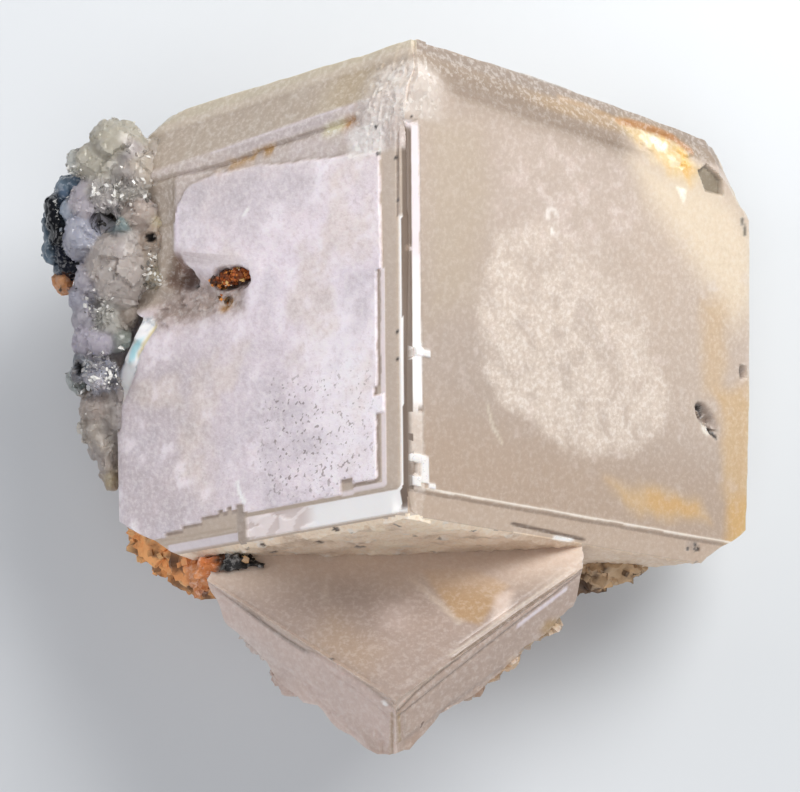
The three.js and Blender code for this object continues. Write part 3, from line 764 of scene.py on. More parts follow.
def lower_left_height(l, d):
    """The lower crystal's left face: bevelled above its groove, and ragged below."""
    groove = along(l, LEFT_LINE)
    height = -0.4 * np.clip(groove - d, 0, None)
    deep = 0.05 + 0.12 * band(l, 7.4, 15, 0.5)
    height -= deep * bell(d - groove, 0.16)
    height -= 0.07 * line(l, d, [(5.0, 1.0), (2.6, 1.2), (0.4, 1.6)], 0.08, 0.12)
    height -= 0.1 * line(l, d, [(0.32, 1.2), (0.4, 6)], 0.12, 0.14)
    place = flat(l, d)
    height -= 0.14 * rise(d, 2.7, 3.2) * rise(smooth_noise(place, 3.1, 84), -0.2, 0.3)
    height += 0.07 * rise(d, 2.4, 3.4) * facets(place, 1.3, 87)
    return height + 0.04 * rough_noise(place, 1.6, 83, 4) * rise(d, 1, 3)


def lower_right_height(r, d):
    """The lower crystal's right face: two lines below its edge, then a frosted slope."""
    groove, second = along(r, RIGHT_LINE), along(r, RIGHT_SECOND_LINE)
    height = -0.4 * np.clip(groove - d, 0, None)
    height -= 0.1 * bell(d - groove - 0.1, 0.12)
    height -= 0.1 * bell(d - second, 0.1) + 0.04 * rise(d, second, second + 0.1)
    height -= 0.1 * line(r, d, [(0.6, 1.4), (0.7, 6)], 0.12, 0.14)
    place = flat(r, d)
    height -= 0.12 * rise(d, 3.1, 3.6) * rise(smooth_noise(place, 2.7, 86), -0.3, 0.2)
    height += 0.07 * rise(d, 2.6, 3.6) * facets(place, 1.2, 88)
    return height + 0.04 * rough_noise(place, 1.6, 85, 4) * rise(d, 1.5, 3)


def broken_wall():
    """The space inside the ragged broken sides of the lower crystal."""
    outline = np.array([*BROKEN_OUTLINE, BROKEN_OUTLINE[0]])
    lengths = np.linalg.norm(np.diff(outline, axis=0), axis=1)
    run = np.concatenate([[0], np.cumsum(lengths)])
    count = 170
    around = np.linspace(0, run[-1], count + 1)[:-1]
    contour = np.stack([np.interp(around, run, outline[:, i]) for i in (0, 1)], axis=-1)
    centre = np.mean(BROKEN_OUTLINE, axis=0)
    spoke = contour - centre
    spoke /= np.linalg.norm(spoke, axis=1)[:, None]
    levels = np.arange(4, -30.1, -0.5)
    rows = []
    for level in levels:
        widened = (contour - centre) * along(-level, BROKEN_LEVELS) + centre
        ring = np.column_stack([widened, np.full(count, level)])
        steps_out = cells(ring * (1, 1, 0.45), 2.3, 91)[1] - 0.5
        fine = rough_noise(ring, 1.3, 92)
        push = (1.3 * steps_out * rise(-level, 6, 13) + 0.28 * fine) - 0.15
        ring[:, :2] += spoke * push[:, None]
        rows.append(ring)
    faces = [list(range(count))]
    for level in range(len(levels) - 1):
        for i in range(count):
            here, following = level * count + i, level * count + (i + 1) % count
            faces.append([following, here, here + count, following + count])
    last = (len(levels) - 1) * count
    faces.append(list(range(last + count - 1, last - 1, -1)))
    piece = solid("wall", np.vstack(rows), faces)
    with edited(piece.data) as form:
        bmesh.ops.recalc_face_normals(form, faces=form.faces)
    return piece


# Tan lumps that cling to the broken edge
EDGE_LUMPS = [
    ((6.0, -10.3, -9.8), (1.5, 1.2, 1.8), (226, 190, 152), 0.7),
    ((5.0, -11.1, -9.9), (1.2, 1.0, 1.6), (214, 178, 142), 0.7),
    ((8.9, -8.2, -10.8), (1.3, 0.9, 1.8), (186, 158, 124), 0.8),
    ((7.8, -9.0, -10.6), (1.0, 0.8, 1.6), (202, 172, 134), 0.8),
    ((4.0, -12.3, -9.8), (1.1, 0.9, 1.7), (188, 154, 130), 0.7),
    ((-7.2, -11.6, -10.4), (1.8, 1.3, 2.0), (196, 168, 156), 0.5),
    ((-5.9, -12.5, -10.2), (1.2, 0.9, 1.8), (190, 160, 148), 0.5),
    ((-9.5, -9.4, -11.0), (1.5, 1.1, 2.0), (204, 186, 178), 0.4),
    ((-10.5, -8.3, -11.4), (1.1, 1.0, 1.8), (206, 196, 190), 0.3),
]


def lower_crystal():
    back = 1.2
    limits = [(-UP, -FLOOR_LEVEL), (np.array((0, 1.0, 0)), 0.0)]
    sides = ((1, 0, 0), (-1, 0, 0), (0, -1, 0))
    core = convex([
        *[through(normal, LOWER_CORNER, -back) for normal in (UPPER_OUT, LEFT_OUT, RIGHT_OUT)],
        *limits, *walls(LOWER_CORNER, 15, *sides),
    ])
    long, down = stops((0, 2, 0.14), (2, 19, 0.24)), stops((0, 6, 0.12), (6, 9, 0.4))
    combine(core, [
        slab(LOWER_FACE, long, long, lower_upper_height, depth=2),
        slab(LOWER_LEFT, long, down, lower_left_height, depth=2),
        slab(LOWER_RIGHT, stops((0, 2, 0.14), (2, 20, 0.24)), down, lower_right_height, depth=2),
    ], "UNION")
    limit_box = convex([*limits, *walls(LOWER_CORNER, 18, *sides, (0, 0, 1))])
    combine(core, [limit_box, broken_wall()], "INTERSECT")
    lumps = blob(EDGE_LUMPS, voxel=0.2)
    push_out(lumps, lambda places: 0.3 * facets(places, 1.1, 95) + 0.09 * facets(places, 0.45, 97))
    return combine(core, [lumps], "UNION")


# Materials


def shown(colour):
    """A colour picked in the sidebar, given as 0 to 255."""
    return tuple(255 * part for part in colour)


def linear(colour):
    """Linear values of a colour given as 0 to 255."""
    value = np.asarray(colour, float) / 255
    return np.where(value <= 0.04045, value / 12.92, ((value + 0.055) / 1.055) ** 2.4)


def put(tree, socket, value):
    """Sets an input to a value, or links a socket or a node's first output to it."""
    if isinstance(value, bpy.types.Node):
        value = value.outputs[0]
    if isinstance(value, bpy.types.NodeSocket):
        tree.links.new(value, socket)
    else:
        socket.default_value = value


def make(tree, kind, inputs=None, **settings):
    """A node with its settings, and its inputs by name or number."""
    node = tree.nodes.new(kind)
    for name, value in settings.items():
        setattr(node, name, value)
    for name, value in (inputs or {}).items():
        put(tree, node.inputs[name], value)
    return node


def calculate(tree, operation, *values):
    return make(tree, "ShaderNodeMath", dict(enumerate(values)), operation=operation)


def times(tree, first, second):
    return calculate(tree, "MULTIPLY", first, second)


def remap(tree, value, start, end):
    """0 at the start and 1 at the end of a range of values, in a straight line between."""
    return make(tree, "ShaderNodeMapRange", {"Value": value, "From Min": start, "From Max": end})


def blend(tree, factor, first, second, kind="MIX"):
    """Mixes two colours."""
    node = make(tree, "ShaderNodeMix", data_type="RGBA", blend_type=kind)
    sockets = {socket.identifier: socket for socket in node.inputs}
    for name, value in (("Factor_Float", factor), ("A_Color", first), ("B_Color", second)):
        put(tree, sockets[name], value)
    return {socket.identifier: socket for socket in node.outputs}["Result_Color"]


def noise(tree, where, size, detail, roughness):
    """Noise with lumps of a size in millimetres."""
    return make(tree, "ShaderNodeTexNoise", {
        "Vector": where, "Scale": 1 / (size * MM), "Detail": detail, "Roughness": roughness,
    })


def new_material(name):
    material = bpy.data.materials.new(name)
    material.use_nodes = True
    tree = material.node_tree
    tree.nodes.clear()
    shader = tree.nodes.new("ShaderNodeBsdfPrincipled")
    output = tree.nodes.new("ShaderNodeOutputMaterial")
    put(tree, output.inputs["Surface"], shader)
    return material, tree, shader


def mineral(name, ior, transmission, scatter, fleck_size, bump_size, bump_height):
    """A painted mineral, which reads its colour, finish and grain from the mesh. Sizes are in
    millimetres."""
    material, tree, shader = new_material(name)
    where = make(tree, "ShaderNodeTexCoord").outputs["Object"]
    tint, finish, grain = (
        make(tree, "ShaderNodeAttribute", attribute_name=layer)
        for layer in ("tint", "finish", "grain")
    )
    split = [make(tree, "ShaderNodeSeparateColor", {"Color": part}) for part in (finish, grain)]
    layers = dict(zip(PARTS, [*split[0].outputs, *split[1].outputs]))
    coarse = noise(tree, where, fleck_size, 3.0, 0.7)
    fine = noise(tree, where, bump_size, 4.0, 0.6)
    # pale flecks and the darker ground between them
    pale = times(tree, remap(tree, coarse, 0.5, 0.62), layers["flecks"])
    dull = times(tree, remap(tree, coarse, 0.48, 0.34), layers["flecks"])
    colour = blend(tree, times(tree, pale, 0.36), tint, (1, 0.96, 0.93, 1))
    shadow = blend(tree, 1.0, colour, (0.72, 0.67, 0.64, 1), "MULTIPLY")
    colour = blend(tree, times(tree, dull, 0.5), colour, shadow)
    # small dark pits, longer one way than the other
    stretched = make(tree, "ShaderNodeMapping", {
        "Vector": where, "Scale": (1.0, 1.9, 1.0), "Rotation": (0, 0, math.radians(-50)),
    }, vector_type="TEXTURE")
    dots = remap(tree, noise(tree, stretched, 0.23, 1.5, 0.5), 0.61, 0.68)
    darkened = blend(tree, 1.0, colour, (0.42, 0.38, 0.36, 1), "MULTIPLY")
    colour = blend(tree, times(tree, dots, layers["pits"]), colour, darkened)
    # glitter
    sparks = make(tree, "ShaderNodeTexVoronoi", {"Vector": where, "Scale": 1 / (0.28 * MM)})
    spark = make(tree, "ShaderNodeSeparateColor", {"Color": sparks.outputs["Color"]})
    spark = times(tree, calculate(tree, "GREATER_THAN", spark, 0.8), layers["glitter"])
    rough = calculate(tree, "MULTIPLY_ADD", layers["frost"], 0.34, 0.24)
    for value, factor in ((layers["gloss"], -0.2), (coarse, 0.14), (spark, -0.3)):
        rough = calculate(tree, "MULTIPLY_ADD", value, factor, rough)
    bump = make(tree, "ShaderNodeBump", {
        "Height": fine, "Distance": bump_height * MM,
        "Strength": calculate(tree, "MULTIPLY_ADD", layers["frost"], 0.8, 0.2),
    })
    for name, value in (
        ("Base Color", blend(tree, spark, colour, (1, 0.98, 0.94, 1))), ("Roughness", rough),
        ("Normal", bump), ("Transmission Weight", times(tree, layers["clear"], transmission)),
        ("IOR", ior), ("Subsurface Weight", scatter), ("Subsurface Radius", (1.0, 0.85, 0.7)),
        ("Subsurface Scale", 1.2 * MM),
    ):
        put(tree, shader.inputs[name], value)
    return material


# What a coat of paint holds beside its colour; the mesh stores the first three as "finish" and
# the last three as "grain"
PARTS = ("frost", "gloss", "clear", "flecks", "pits", "glitter")


class Paint:
    """Colour, finish and grain for an array of places, laid on coat by coat."""

    def __init__(self, count, tint, frost=0.5, clear=0.3, flecks=0.0):
        self.tint = np.tile(linear(tint), (count, 1))
        self.parts = np.tile((frost, 0.0, clear, flecks, 0.0, 0.0), (count, 1))

    def lay(self, mask, tint=None, **parts):
        mask = np.clip(mask, 0, 1)
        if tint is not None:
            self.tint += mask[:, None] * (linear(tint) - self.tint)
        for name, value in parts.items():
            values = self.parts[:, PARTS.index(name)]
            values += mask * (value - values)

    def shade(self, factor):
        """Brightens or darkens the colour."""
        self.tint = np.clip(self.tint * factor[:, None], 0, 1)

    def write(self, mesh):
        """Stores the coat at the corners of the mesh's faces."""
        for name, values in (
            ("tint", self.tint), ("finish", self.parts[:, :3]), ("grain", self.parts[:, 3:]),
        ):
            layer = mesh.color_attributes.new(name, "FLOAT_COLOR", "CORNER")
            rgba = np.column_stack([np.clip(values, 0, 1), np.ones(len(values))])
            layer.data.foreach_set("color", rgba.astype(np.float32).ravel())


def corner_places(mesh):
    """Place of each face corner, and the number of the face that it belongs to."""
    index = stored(mesh.loops, "vertex_index", kind=np.int32)
    totals = stored(mesh.polygons, "loop_total", kind=np.int32)
    return vertex_places(mesh)[index], np.repeat(np.arange(len(totals)), totals)


# Colours of the main crystal

WHITE = (254, 252, 251)
# painted shade in the groove along the near edge
GROOVE_SHADE = (124, 108, 96)


def groove_shade_mask(face, a, b, places):
    """1 in the groove along the near edge, where its shade is painted."""
    height = face.measure(places)[2]
    return (height < -0.1) * (a < 0.7) * fall(b, 23.6, 24.1) * rise(b, -0.2, 0.2)


def paint_left(look, a, b, places):
    strip, ledge, plate = left_layers(a, b)
    place = flat(a, b)
    cloud = rough_noise(place, 5, 101)
    mottle = rough_noise(place, 1.1, 104)
    coat = Paint(len(a), shown(look.shelf_colour), frost=0.3, clear=0.3, flecks=0.25)
    # the ledge strip, paler as painted light where it catches the lamp, and the riser under the
    # plate, darker as painted shade
    ledge_strip = rise(ledge, 0.02, 0.1) * fall(ledge, 0.36, 0.44) * (b < 15.4) * (a < 5.2)
    coat.lay(ledge_strip, (238, 226, 226), frost=0.2)
    coat.lay(band(plate, -0.2, 0.02, 0.04) * (ledge > 0.3), (166, 147, 134))
    # the plate: milky white, its lilac tint partly a painted reflection of bluish light; greyer to
    # the lower left and brighter to the lower right as painted light and shade
    on_plate = rise(plate, 0.0, 0.08)
    coat.lay(on_plate, shown(look.plate_colour_and_sheen), frost=0.7, flecks=0.75, clear=0.1)
    coat.lay(on_plate * rise(a, 8, 20) * fall(b, 11, 17) * 0.75, (192, 180, 182))
    bright = patch(a, b, [(2, 2.4), (2, 14), (6, 15), (8, 9), (8, 3)], 2.2)
    coat.lay(on_plate * bright * 0.75, (246, 237, 244))
    coat.lay(on_plate * rise(b, 17, 24) * 0.5, (214, 202, 198))
    pitted = patch(a, b, [(11, 10), (2.9, 9.2), (2.6, 2.1), (10.3, 1.7), (12, 4.2)], 1.4)
    coat.lay(on_plate * pitted, pits=0.9)
    coat.lay(on_plate * rise(cloud, 0.1, 0.6) * 0.4, pits=0.4)
    clouds = rough_noise(place, 3.6, 125, 4)
    coat.lay(on_plate * rise(clouds, 0.0, 0.45) * 0.55, (212, 203, 210))
    coat.lay(on_plate * rise(-clouds, 0.05, 0.5) * 0.6, (226, 212, 204))
    coat.lay(on_plate * rise(mottle, 0.2, 0.5) * 0.5, (240, 232, 238))
    coat.shade(1.03 + 0.12 * cloud * on_plate + 0.13 * mottle * on_plate)
    coat.lay(band(a, 18.4, 18.85, 0.12) * band(b, 19.2, 23, 0.4), (232, 220, 230), frost=0.3)
    # the strip beside the ridge and the band along the bottom, painted white and glossy as
    # painted reflections of the lamp
    white = fall(strip, -0.1, -0.02) * rise(a, 0.17, 0.25) * rise(b, -0.25, -0.12)
    white *= fall(b, 18.2, 18.5)
    coat.lay(white * (a < 13.3), WHITE, frost=0.05, gloss=1, flecks=0, clear=0)
    # the painted reflection is pinker further along the bottom band and duller on some facets
    pink = white * rise(a, 7.2, 8.8) * (a < 13.3)
    coat.lay(pink * 0.8, (238, 224, 222), gloss=0.4)
    coat.lay(pink * (facets(place * (1, 1.6, 1), 1.3, 5) < -0.25) * 0.6, (206, 190, 184))
    coat.lay(white * (a > 13.8) * (a < 20.2) * 0.85, (234, 226, 232), gloss=0.5)
    coat.lay(band(a, 13.2, 13.85, 0.08) * fall(b, 2.1, 2.3), (176, 160, 148))
    # above the strip: a thin dark line; painted shade in the groove in the ridge
    coat.lay(line(a, b, DARK_LINE, 0.07, 0.05) * 0.8, (136, 120, 108))
    coat.lay(groove_shade_mask(LEFT_FACE, a, b, places), GROOVE_SHADE, flecks=0, gloss=0)
    # the margin above the plate, with its rusty groove darkened along it by painted shade, and
    # the strip whose lilac tint is a painted reflection
    top = rise(along(a, PLATE_TOP) - b, 0.25, -0.25)
    coat.lay(top, (208, 194, 186), frost=0.6, flecks=0.8)
    coat.lay(top * rise(mottle, -0.1, 0.5) * 0.5, (222, 208, 208))
    groove = along(a, TOP_GROOVE)
    strip_top = along(a, LILAC_STRIP_TOP)
    # painted shade along the groove
    near = bell(b - groove, 0.3) * rise(a, 2.5, 4) * fall(a, 14, 19)
    coat.lay(near * 0.5, (168, 152, 138))
    below = bell(b - groove + 0.15, 0.42)
    golden = below * rise(rough_noise(place, 0.9, 105), -0.3, 0.1)
    coat.lay(golden * band(a, 9.8, 15.0, 0.8) * 0.8, (196, 156, 102))
    coat.lay(golden * band(a, 10.6, 12.2, 0.4) * 0.7, (176, 134, 70))
    coat.lay(golden * band(a, 3.6, 4.9, 0.3) * 0.9, (186, 132, 60))
    coat.lay(below * band(a, 4.7, 6.4, 0.4) * 0.7, (228, 220, 176), glitter=0.8)
    # the lilac strip: a painted reflection of bluish light, with a paler line in it
    strip_paint = band(b, groove + 0.35, strip_top, 0.2) * rise(a, 4.5, 6.5)
    strip_paint *= fall(a, 12, 17)
    coat.lay(strip_paint * 0.8, (204, 192, 192))
    coat.lay(line(a, b, [(5, 26.1), (16, 25.78)], 0.06, 0.1) * 0.6, (226, 216, 222))
    bevel = rise(b, strip_top, strip_top + 0.25)
    coat.lay(bevel, (190, 174, 157), frost=0.55, flecks=0.6)
    streaks = rough_noise(place * (3, 1, 1), 1.6, 106)
    coat.lay(bevel * rise(streaks, 0.0, 0.5) * 0.35, (214, 204, 190))
    coat.lay(bevel * band(a, 3, 7, 1.5) * 0.45, (192, 170, 130))
    coat.lay(rise(b, 28.3, 28.6) * 0.8, (212, 198, 180), frost=0.3)
    coat.lay(rise(b, 28.9, 29.1) * 0.4, (196, 188, 160))
    # rough white ground at the top of the ridge
    rough = rise(b, 22.3, 22.9) * fall(a, 3.9, 4.6) * fall(b, 24.3, 24.8)
    coat.lay(rough * rise(a, 1.3, 1.8) * 0.8, (246, 240, 236), glitter=0.7)
    rough = rise(b, 23.9, 24.6) * fall(a, 1.8, 4.5) * fall(b, 27.4, 28.4)
    coat.lay(rough * 0.7, (222, 212, 204), glitter=0.45)
    # the left margin, the slope, and the pocket
    margin = rise(a, 18.8, 19.2) * band(b, 16.5, 25.2, 0.5)
    coat.lay(margin, (188, 173, 158), frost=0.5)
    wrinkles = facets(place * (1, 2, 1), 1.1, 6)
    slope = patch(a, b, SLOPE, 0.9)
    coat.lay(slope * 0.9, (198, 178, 168), frost=0.6, flecks=0.9, clear=0.7)
    # painted shade in the low parts of the wrinkles
    coat.lay(slope * rise(wrinkles, 0.1, -0.5) * 0.5, (160, 138, 124))
    rim = to_line(a, b, SLOPE_RIM)
    coat.lay(bell(rim, 0.6) * 0.7, (220, 209, 212), flecks=0.4)
    torn = 0.25 * rough_noise(place, 0.6, 16)
    coat.lay(patch(a + torn, b + torn, POCKET, 0.25) * 0.9, (92, 58, 36))
    coat.lay(rise(spot(a, b, (14.6, 15.5), (0.65, 0.8), 60), 0.1, 0.5) * 0.8, (190, 142, 76))
    # the two hollows beside the pocket, painted as shade: dark brown, and black in the deeper one
    brown = rise(spot(a + 2 * torn, b, (19.1, 18.5), (1.5, 1.7), 10), 0.0, 0.5)
    coat.lay(brown * 0.85, (120, 88, 68))
    black = rise(spot(a + torn, b - torn, (17.8, 17.85), (0.95, 0.5), 30), 0.05, 0.3)
    coat.lay(black, (26, 16, 12))
    # bright marks and black specks
    coat.lay(line(a, b, [(13.1, 2.3), (13.5, 2.9), (13.7, 3.7)], 0.12, 0.16), WHITE, gloss=0.6)
    coat.lay(rise(spot(a, b, (23.0, 2.1), (0.55, 0.7), 0), 0.1, 0.8) * 0.9, (250, 244, 246))
    coat.lay(line(a, b, [(12.8, 21.1), (12.5, 21.3)], 0.1, 0.12), WHITE)
    for specks in ((0.7, 11.1), (0.7, 9.5), (0.6, 19.3), (0.7, 21.9), (1.9, 22.5), (2.1, 24.2)):
        coat.lay(rise(spot(a, b, specks, (0.16, 0.16)), 0.1, 0.4), (40, 34, 32))
    return coat


def paint_right(look, a, b, places):
    place = flat(a, b)
    cloud = rough_noise(place, 5, 102)
    coat = Paint(len(a), shown(look.face_colour), frost=0.25, clear=0.35, flecks=0.3)
    coat.shade(1 + 0.05 * cloud)
    # painted light: lighter towards the top and the right, darker at the bottom
    coat.lay(rise(b, 10, 22) * 0.5, (205, 188, 174))
    coat.lay(fall(b, 3, 10) * 0.8, (188, 166, 147))
    coat.lay(rise(a, 14, 24) * band(b, 8, 24, 3) * 0.6, (213, 195, 179), flecks=0.6)
    # a creamy patch towards the upper right, part stain and part painted light, and ochre stains
    # towards the right
    peach = [(20.5, 26.3), (27.3, 26.3), (31, 25.4), (33, 23.2), (33, 19), (31, 17), (26, 21),
             (22, 24)]
    coat.lay(patch(a, b, peach, 1.8) * 0.85, (238, 221, 196))
    wander = 0.6 * rough_noise(place, 2.0, 107)
    ochre = patch(a + wander, b, [(27.6, 18), (30, 18.5), (30, 12), (27.9, 11.7)], 0.9) * 0.5
    ochre += patch(a + wander, b + wander, [(29, 12), (33.5, 13), (33.5, 1), (30.9, 1.7),
                                             (29.7, 4.4), (29.7, 7.9)], 0.8) * 0.75
    ochre += patch(a, b + wander, [(17.8, 3.9), (22.2, 4.1), (27.3, 4.1), (28.4, 2.6),
                                   (21.2, 2.3)], 0.7) * 0.8
    coat.lay(ochre, shown(look.stain_colour))
    coat.lay(patch(a, b + wander, [(22, 3.6), (27, 3.7), (27, 2.9), (22, 2.8)], 0.5) * 0.6,
             (214, 170, 106))
    coat.lay(patch(a, b, [(30.3, 4.2), (33, 5), (33, 1), (29.9, 1.0)], 0.7) * 0.7, (216, 176, 114))
    # the frosted patch in the middle
    ragged = 1.2 * rough_noise(place, 1.6, 103)
    frosted = patch(a + 0.6 * ragged, b + 0.5 * ragged, FROSTED_PATCH, 0.7)
    frosted *= 1 - 0.6 * rise(b + 0.5 * a, 23, 29)
    clots = rise(rough_noise(place, 1.1, 119, 4) + 0.35 * frosted, -0.1, 0.5)
    coat.lay(frosted * (0.45 + 0.55 * clots) * 0.7, (220, 206, 193), frost=1.0, flecks=1.0,
             clear=0.1)
    scattered = rise(rough_noise(place, 1.2, 108), 0.42, 0.6) * band(b, 3, 22, 3)
    coat.lay(scattered * 0.3, (226, 212, 204))
    for mark in ([(12.9, 21.35), (12.45, 21.1), (12.5, 20.6)], [(13.1, 21.3), (13.3, 21.0)],
                 [(12.85, 19.95), (12.9, 19.7)]):
        coat.lay(line(a, b, mark, 0.14, 0.14) * 0.9, (250, 244, 238), gloss=0.4)
    # speckled ground above the frosted patch, and the darker ground beside the strip
    upper = patch(a, b, [(8.2, 26.0), (15.5, 26.4), (19.8, 25.4), (21.3, 21.6), (13.6, 18.8),
                         (8.1, 19.6)], 1.6)
    speckles = rise(rough_noise(place, 0.8, 122), -0.1, 0.4)
    coat.lay(upper * (0.25 + 0.75 * speckles) * 0.55, (226, 210, 202), flecks=0.9)
    shaded = [(1.9, 25.1), (6.4, 25.0), (7.2, 20.7), (5.5, 14), (1.9, 12)]
    coat.lay(patch(a, b, shaded, 1.5) * 0.55, (196, 180, 160))
    coat.lay(line(a, b, SCRATCH, 0.1, 0.12) * 0.6, (228, 218, 200))
    # the strip beside the ridge, painted white and glossy above as a painted reflection of the
    # lamp, and painted shade in the groove in the ridge
    edge = strip_edge(b)
    start = 0.09 + 0.24 * fall(b, 8, 17)
    beside = rise(a, start, start + 0.06) * fall(a - edge, -0.04, 0.03)
    beside *= fall(b, 24.0, 24.3)
    coat.lay(beside, (222, 208, 196), flecks=0.5)
    coat.lay(beside * rise(b, 5.4, 7.4), WHITE, frost=0.05, gloss=1, flecks=0, clear=0)
    coat.lay(line(a, b, [(1.28, 24), (1.36, 8), (1.46, 2)], 0.05, 0.06) * 0.5, (176, 158, 146))
    coat.lay(beside * rise(b, 14.5, 16.5) * 0.8, (228, 216, 220), gloss=0.4)
    coat.lay(groove_shade_mask(RIGHT_FACE, a, b, places), GROOVE_SHADE, flecks=0, gloss=0)
    # raised blocks painted white as highlights, sunken ones darker as painted shade
    for a0, a1, b0, b1, lift in RIDGE_BLOCKS:
        block = band(a, a0, a1, 0.05) * band(b, b0, b1, 0.05)
        coat.lay(block * 0.9, WHITE if lift > 0 else (164, 146, 132), gloss=0.6)
    # the lip, the step under it and the lower band
    lip = lip_line(a)
    coat.lay(band(b, lip - 0.07, lip + 0.07, 0.04) * rise(a, 1.0, 2.0), (240, 230, 218))
    coat.lay(band(b, lip - 0.36, lip - 0.2, 0.05) * 0.45, (160, 140, 124))
    coat.lay(fall(b, lip - 0.42, lip - 0.34) * 0.7, (206, 186, 168))
    coat.lay(line(a, b, LOWER_CRACK, 0.14, 0.1), (140, 122, 108))
    # the top: soft valley darkened by painted shade, paler band, grey-blue rim
    bevel = rise(b, RIGHT_BAND_START + 0.4, RIGHT_BAND_START + 1.0)
    coat.lay(bevel, (158, 140, 123), frost=0.5, flecks=0.7)
    valley_shade = bell(b - valley_line(a, b), 1.0) * rise(a, 2, 5)
    coat.lay(valley_shade * fall(a, 19, 22) * 0.9, (142, 124, 108))
    coat.lay(rise(b, 28.7, 29.1) * 0.8, (150, 135, 123), frost=0.3)
    coat.lay(rise(b, 29.75, 29.95), (178, 174, 170), frost=0.2)
    coat.lay(band(a, 12, 21, 2.5) * band(b, 27.9, 28.8, 0.3) * 0.5, (186, 156, 116))
    rough = rise(b, 24.2, 25.0) * fall(a, 1.8, 4.0) * fall(b, 27.6, 28.6)
    coat.lay(rough * 0.7, (222, 212, 204), glitter=0.45)
    # the golden corner
    ragged = 0.5 * rough_noise(place, 0.8, 120)
    coat.lay(patch(a, b, GOLDEN_CORNER, 1.4) * 0.5, (232, 204, 150))
    golden = patch(a + ragged, b + ragged, GOLDEN_CORNER, 0.9)
    coat.lay(golden * 0.8, (234, 204, 142), frost=0.3, flecks=0.5)
    number = cells(place, 0.8, 109)[1]
    coat.lay(golden**2 * (number > 0.55) * rise(a, 22.5, 25) * 0.7, (238, 184, 84))
    coat.lay(golden * (number < 0.2) * 0.7, (250, 240, 206), glitter=0.5)
    glints = [(22.1, 28.2), (23.7, 28.6), (24.9, 28.2), (24.4, 27.6), (22.5, 27.4)]
    glinting = patch(a, b, glints, 0.2) * (cells(place, 0.5, 111)[1] > 0.35)
    coat.lay(glinting, (255, 248, 226), gloss=0.8)
    red = line(a, b, [(20.2, 28.75), (21.6, 28.95), (24.1, 29.05), (25.8, 28.9), (27.1, 28.3)],
               0.28, 0.25)
    coat.lay(red * 0.8, (188, 132, 78))
    coat.lay(line(a, b, [(14.6, 29.0), (17.5, 29.05), (20.7, 28.75)], 0.12, 0.3) * 0.5,
             (206, 172, 130))
    coat.lay(patch(a, b, [(24.8, 25.4), (26.0, 25.4), (25.7, 24.3)], 0.1), (255, 252, 236),
             gloss=0.9)
    coat.lay(patch(a, b, DARK_CHIP, 0.15), (150, 138, 120), frost=0.4, flecks=0.2)
    # pits
    pit = rise(spot(a, b, *PIT), 0.0, 0.35)
    coat.lay(pit * 0.7, (160, 144, 134), flecks=0.5)
    coat.lay(pit * rise(spot(a, b, (27.7, 10.3), (0.9, 0.4), -50), 0.1, 0.5), (52, 44, 42))
    coat.lay(rise(spot(a, b, (28.8, 8.9), (0.7, 0.3), -50), 0.1, 0.5), (60, 52, 48))
    coat.lay(rise(spot(a, b, (28.05, 9.1), (0.6, 0.5), 0), 0.0, 0.3), (236, 228, 216), glitter=1)
    coat.lay(rise(spot(a, b, (31.9, 13.7), (0.5, 0.6), 10), 0.1, 0.5) * 0.8, (120, 106, 98))
    coat.lay(rise(spot(a, b, (26.7, 0.75), (0.9, 0.5), 0), 0, 0.6) * 0.6, (176, 160, 150))
    for speck in ((26.2, 0.45), (27.0, 0.5), (27.3, 0.55), (26.9, 0.85)):
        coat.lay(rise(spot(a, b, speck, (0.26, 0.2)), 0.1, 0.5) * 0.9, (62, 54, 50))
    coat.lay(rise(spot(a, b, (0.65, 24.5), (0.14, 0.14)), 0.1, 0.4), (30, 26, 26))
    # a painted glint along the bottom edge
    coat.lay(band(a, 13.2, 15.0, 0.15) * rise(-b, 0.1, 0.25), WHITE, gloss=0.8)
    coat.lay(line(a, b, [(31.8, 24.5), (32.2, 23.5)], 0.16, 0.15) * 0.9, (70, 68, 58))
    coat.lay(rise(-b, 0.38, 0.5) * 0.7, (164, 148, 132))
    return coat


def paint_under(look, a, b, places):
    place = flat(a, b)
    # paler than the face's own colour: painted light that makes up for the shade under the crystal
    coat = Paint(len(a), (252, 230, 206), frost=0.6, clear=0.2, flecks=0.8)
    coat.shade(1 + 0.12 * rough_noise(place, 2.2, 112, 4))
    coat.lay(rise(rough_noise(place, 2.0, 113), 0.25, 0.5) * 0.4, (158, 134, 112))
    left = fall(b, 9, 12)
    number = cells(place, 0.5, 44)[1]
    # raised chips painted white and glossy as glints
    coat.lay(left * (number > 0.955) * 0.9, (240, 230, 218), gloss=0.5)
    coat.lay(left * (number < 0.018) * 0.9, (48, 40, 36))
    coat.lay((1 - left) * 0.8, (214, 189, 164), flecks=0.5)
    # a painted glint along the edge
    coat.lay(band(b, 13.2, 15.0, 0.15) * band(a, -0.1, 0.45, 0.1), WHITE, gloss=0.8)
    return coat


def paint_plain(tint):
    def paint(look, a, b, places):
        coat = Paint(len(a), tint, frost=0.4, clear=0.3, flecks=0.5)
        coat.shade(1 + 0.08 * rough_noise(places, 4, 110))
        stained = rise(rough_noise(places, 6, 114), 0.2, 0.6)
        coat.lay(stained * 0.45, (214, 186, 150))
        return coat

    return paint


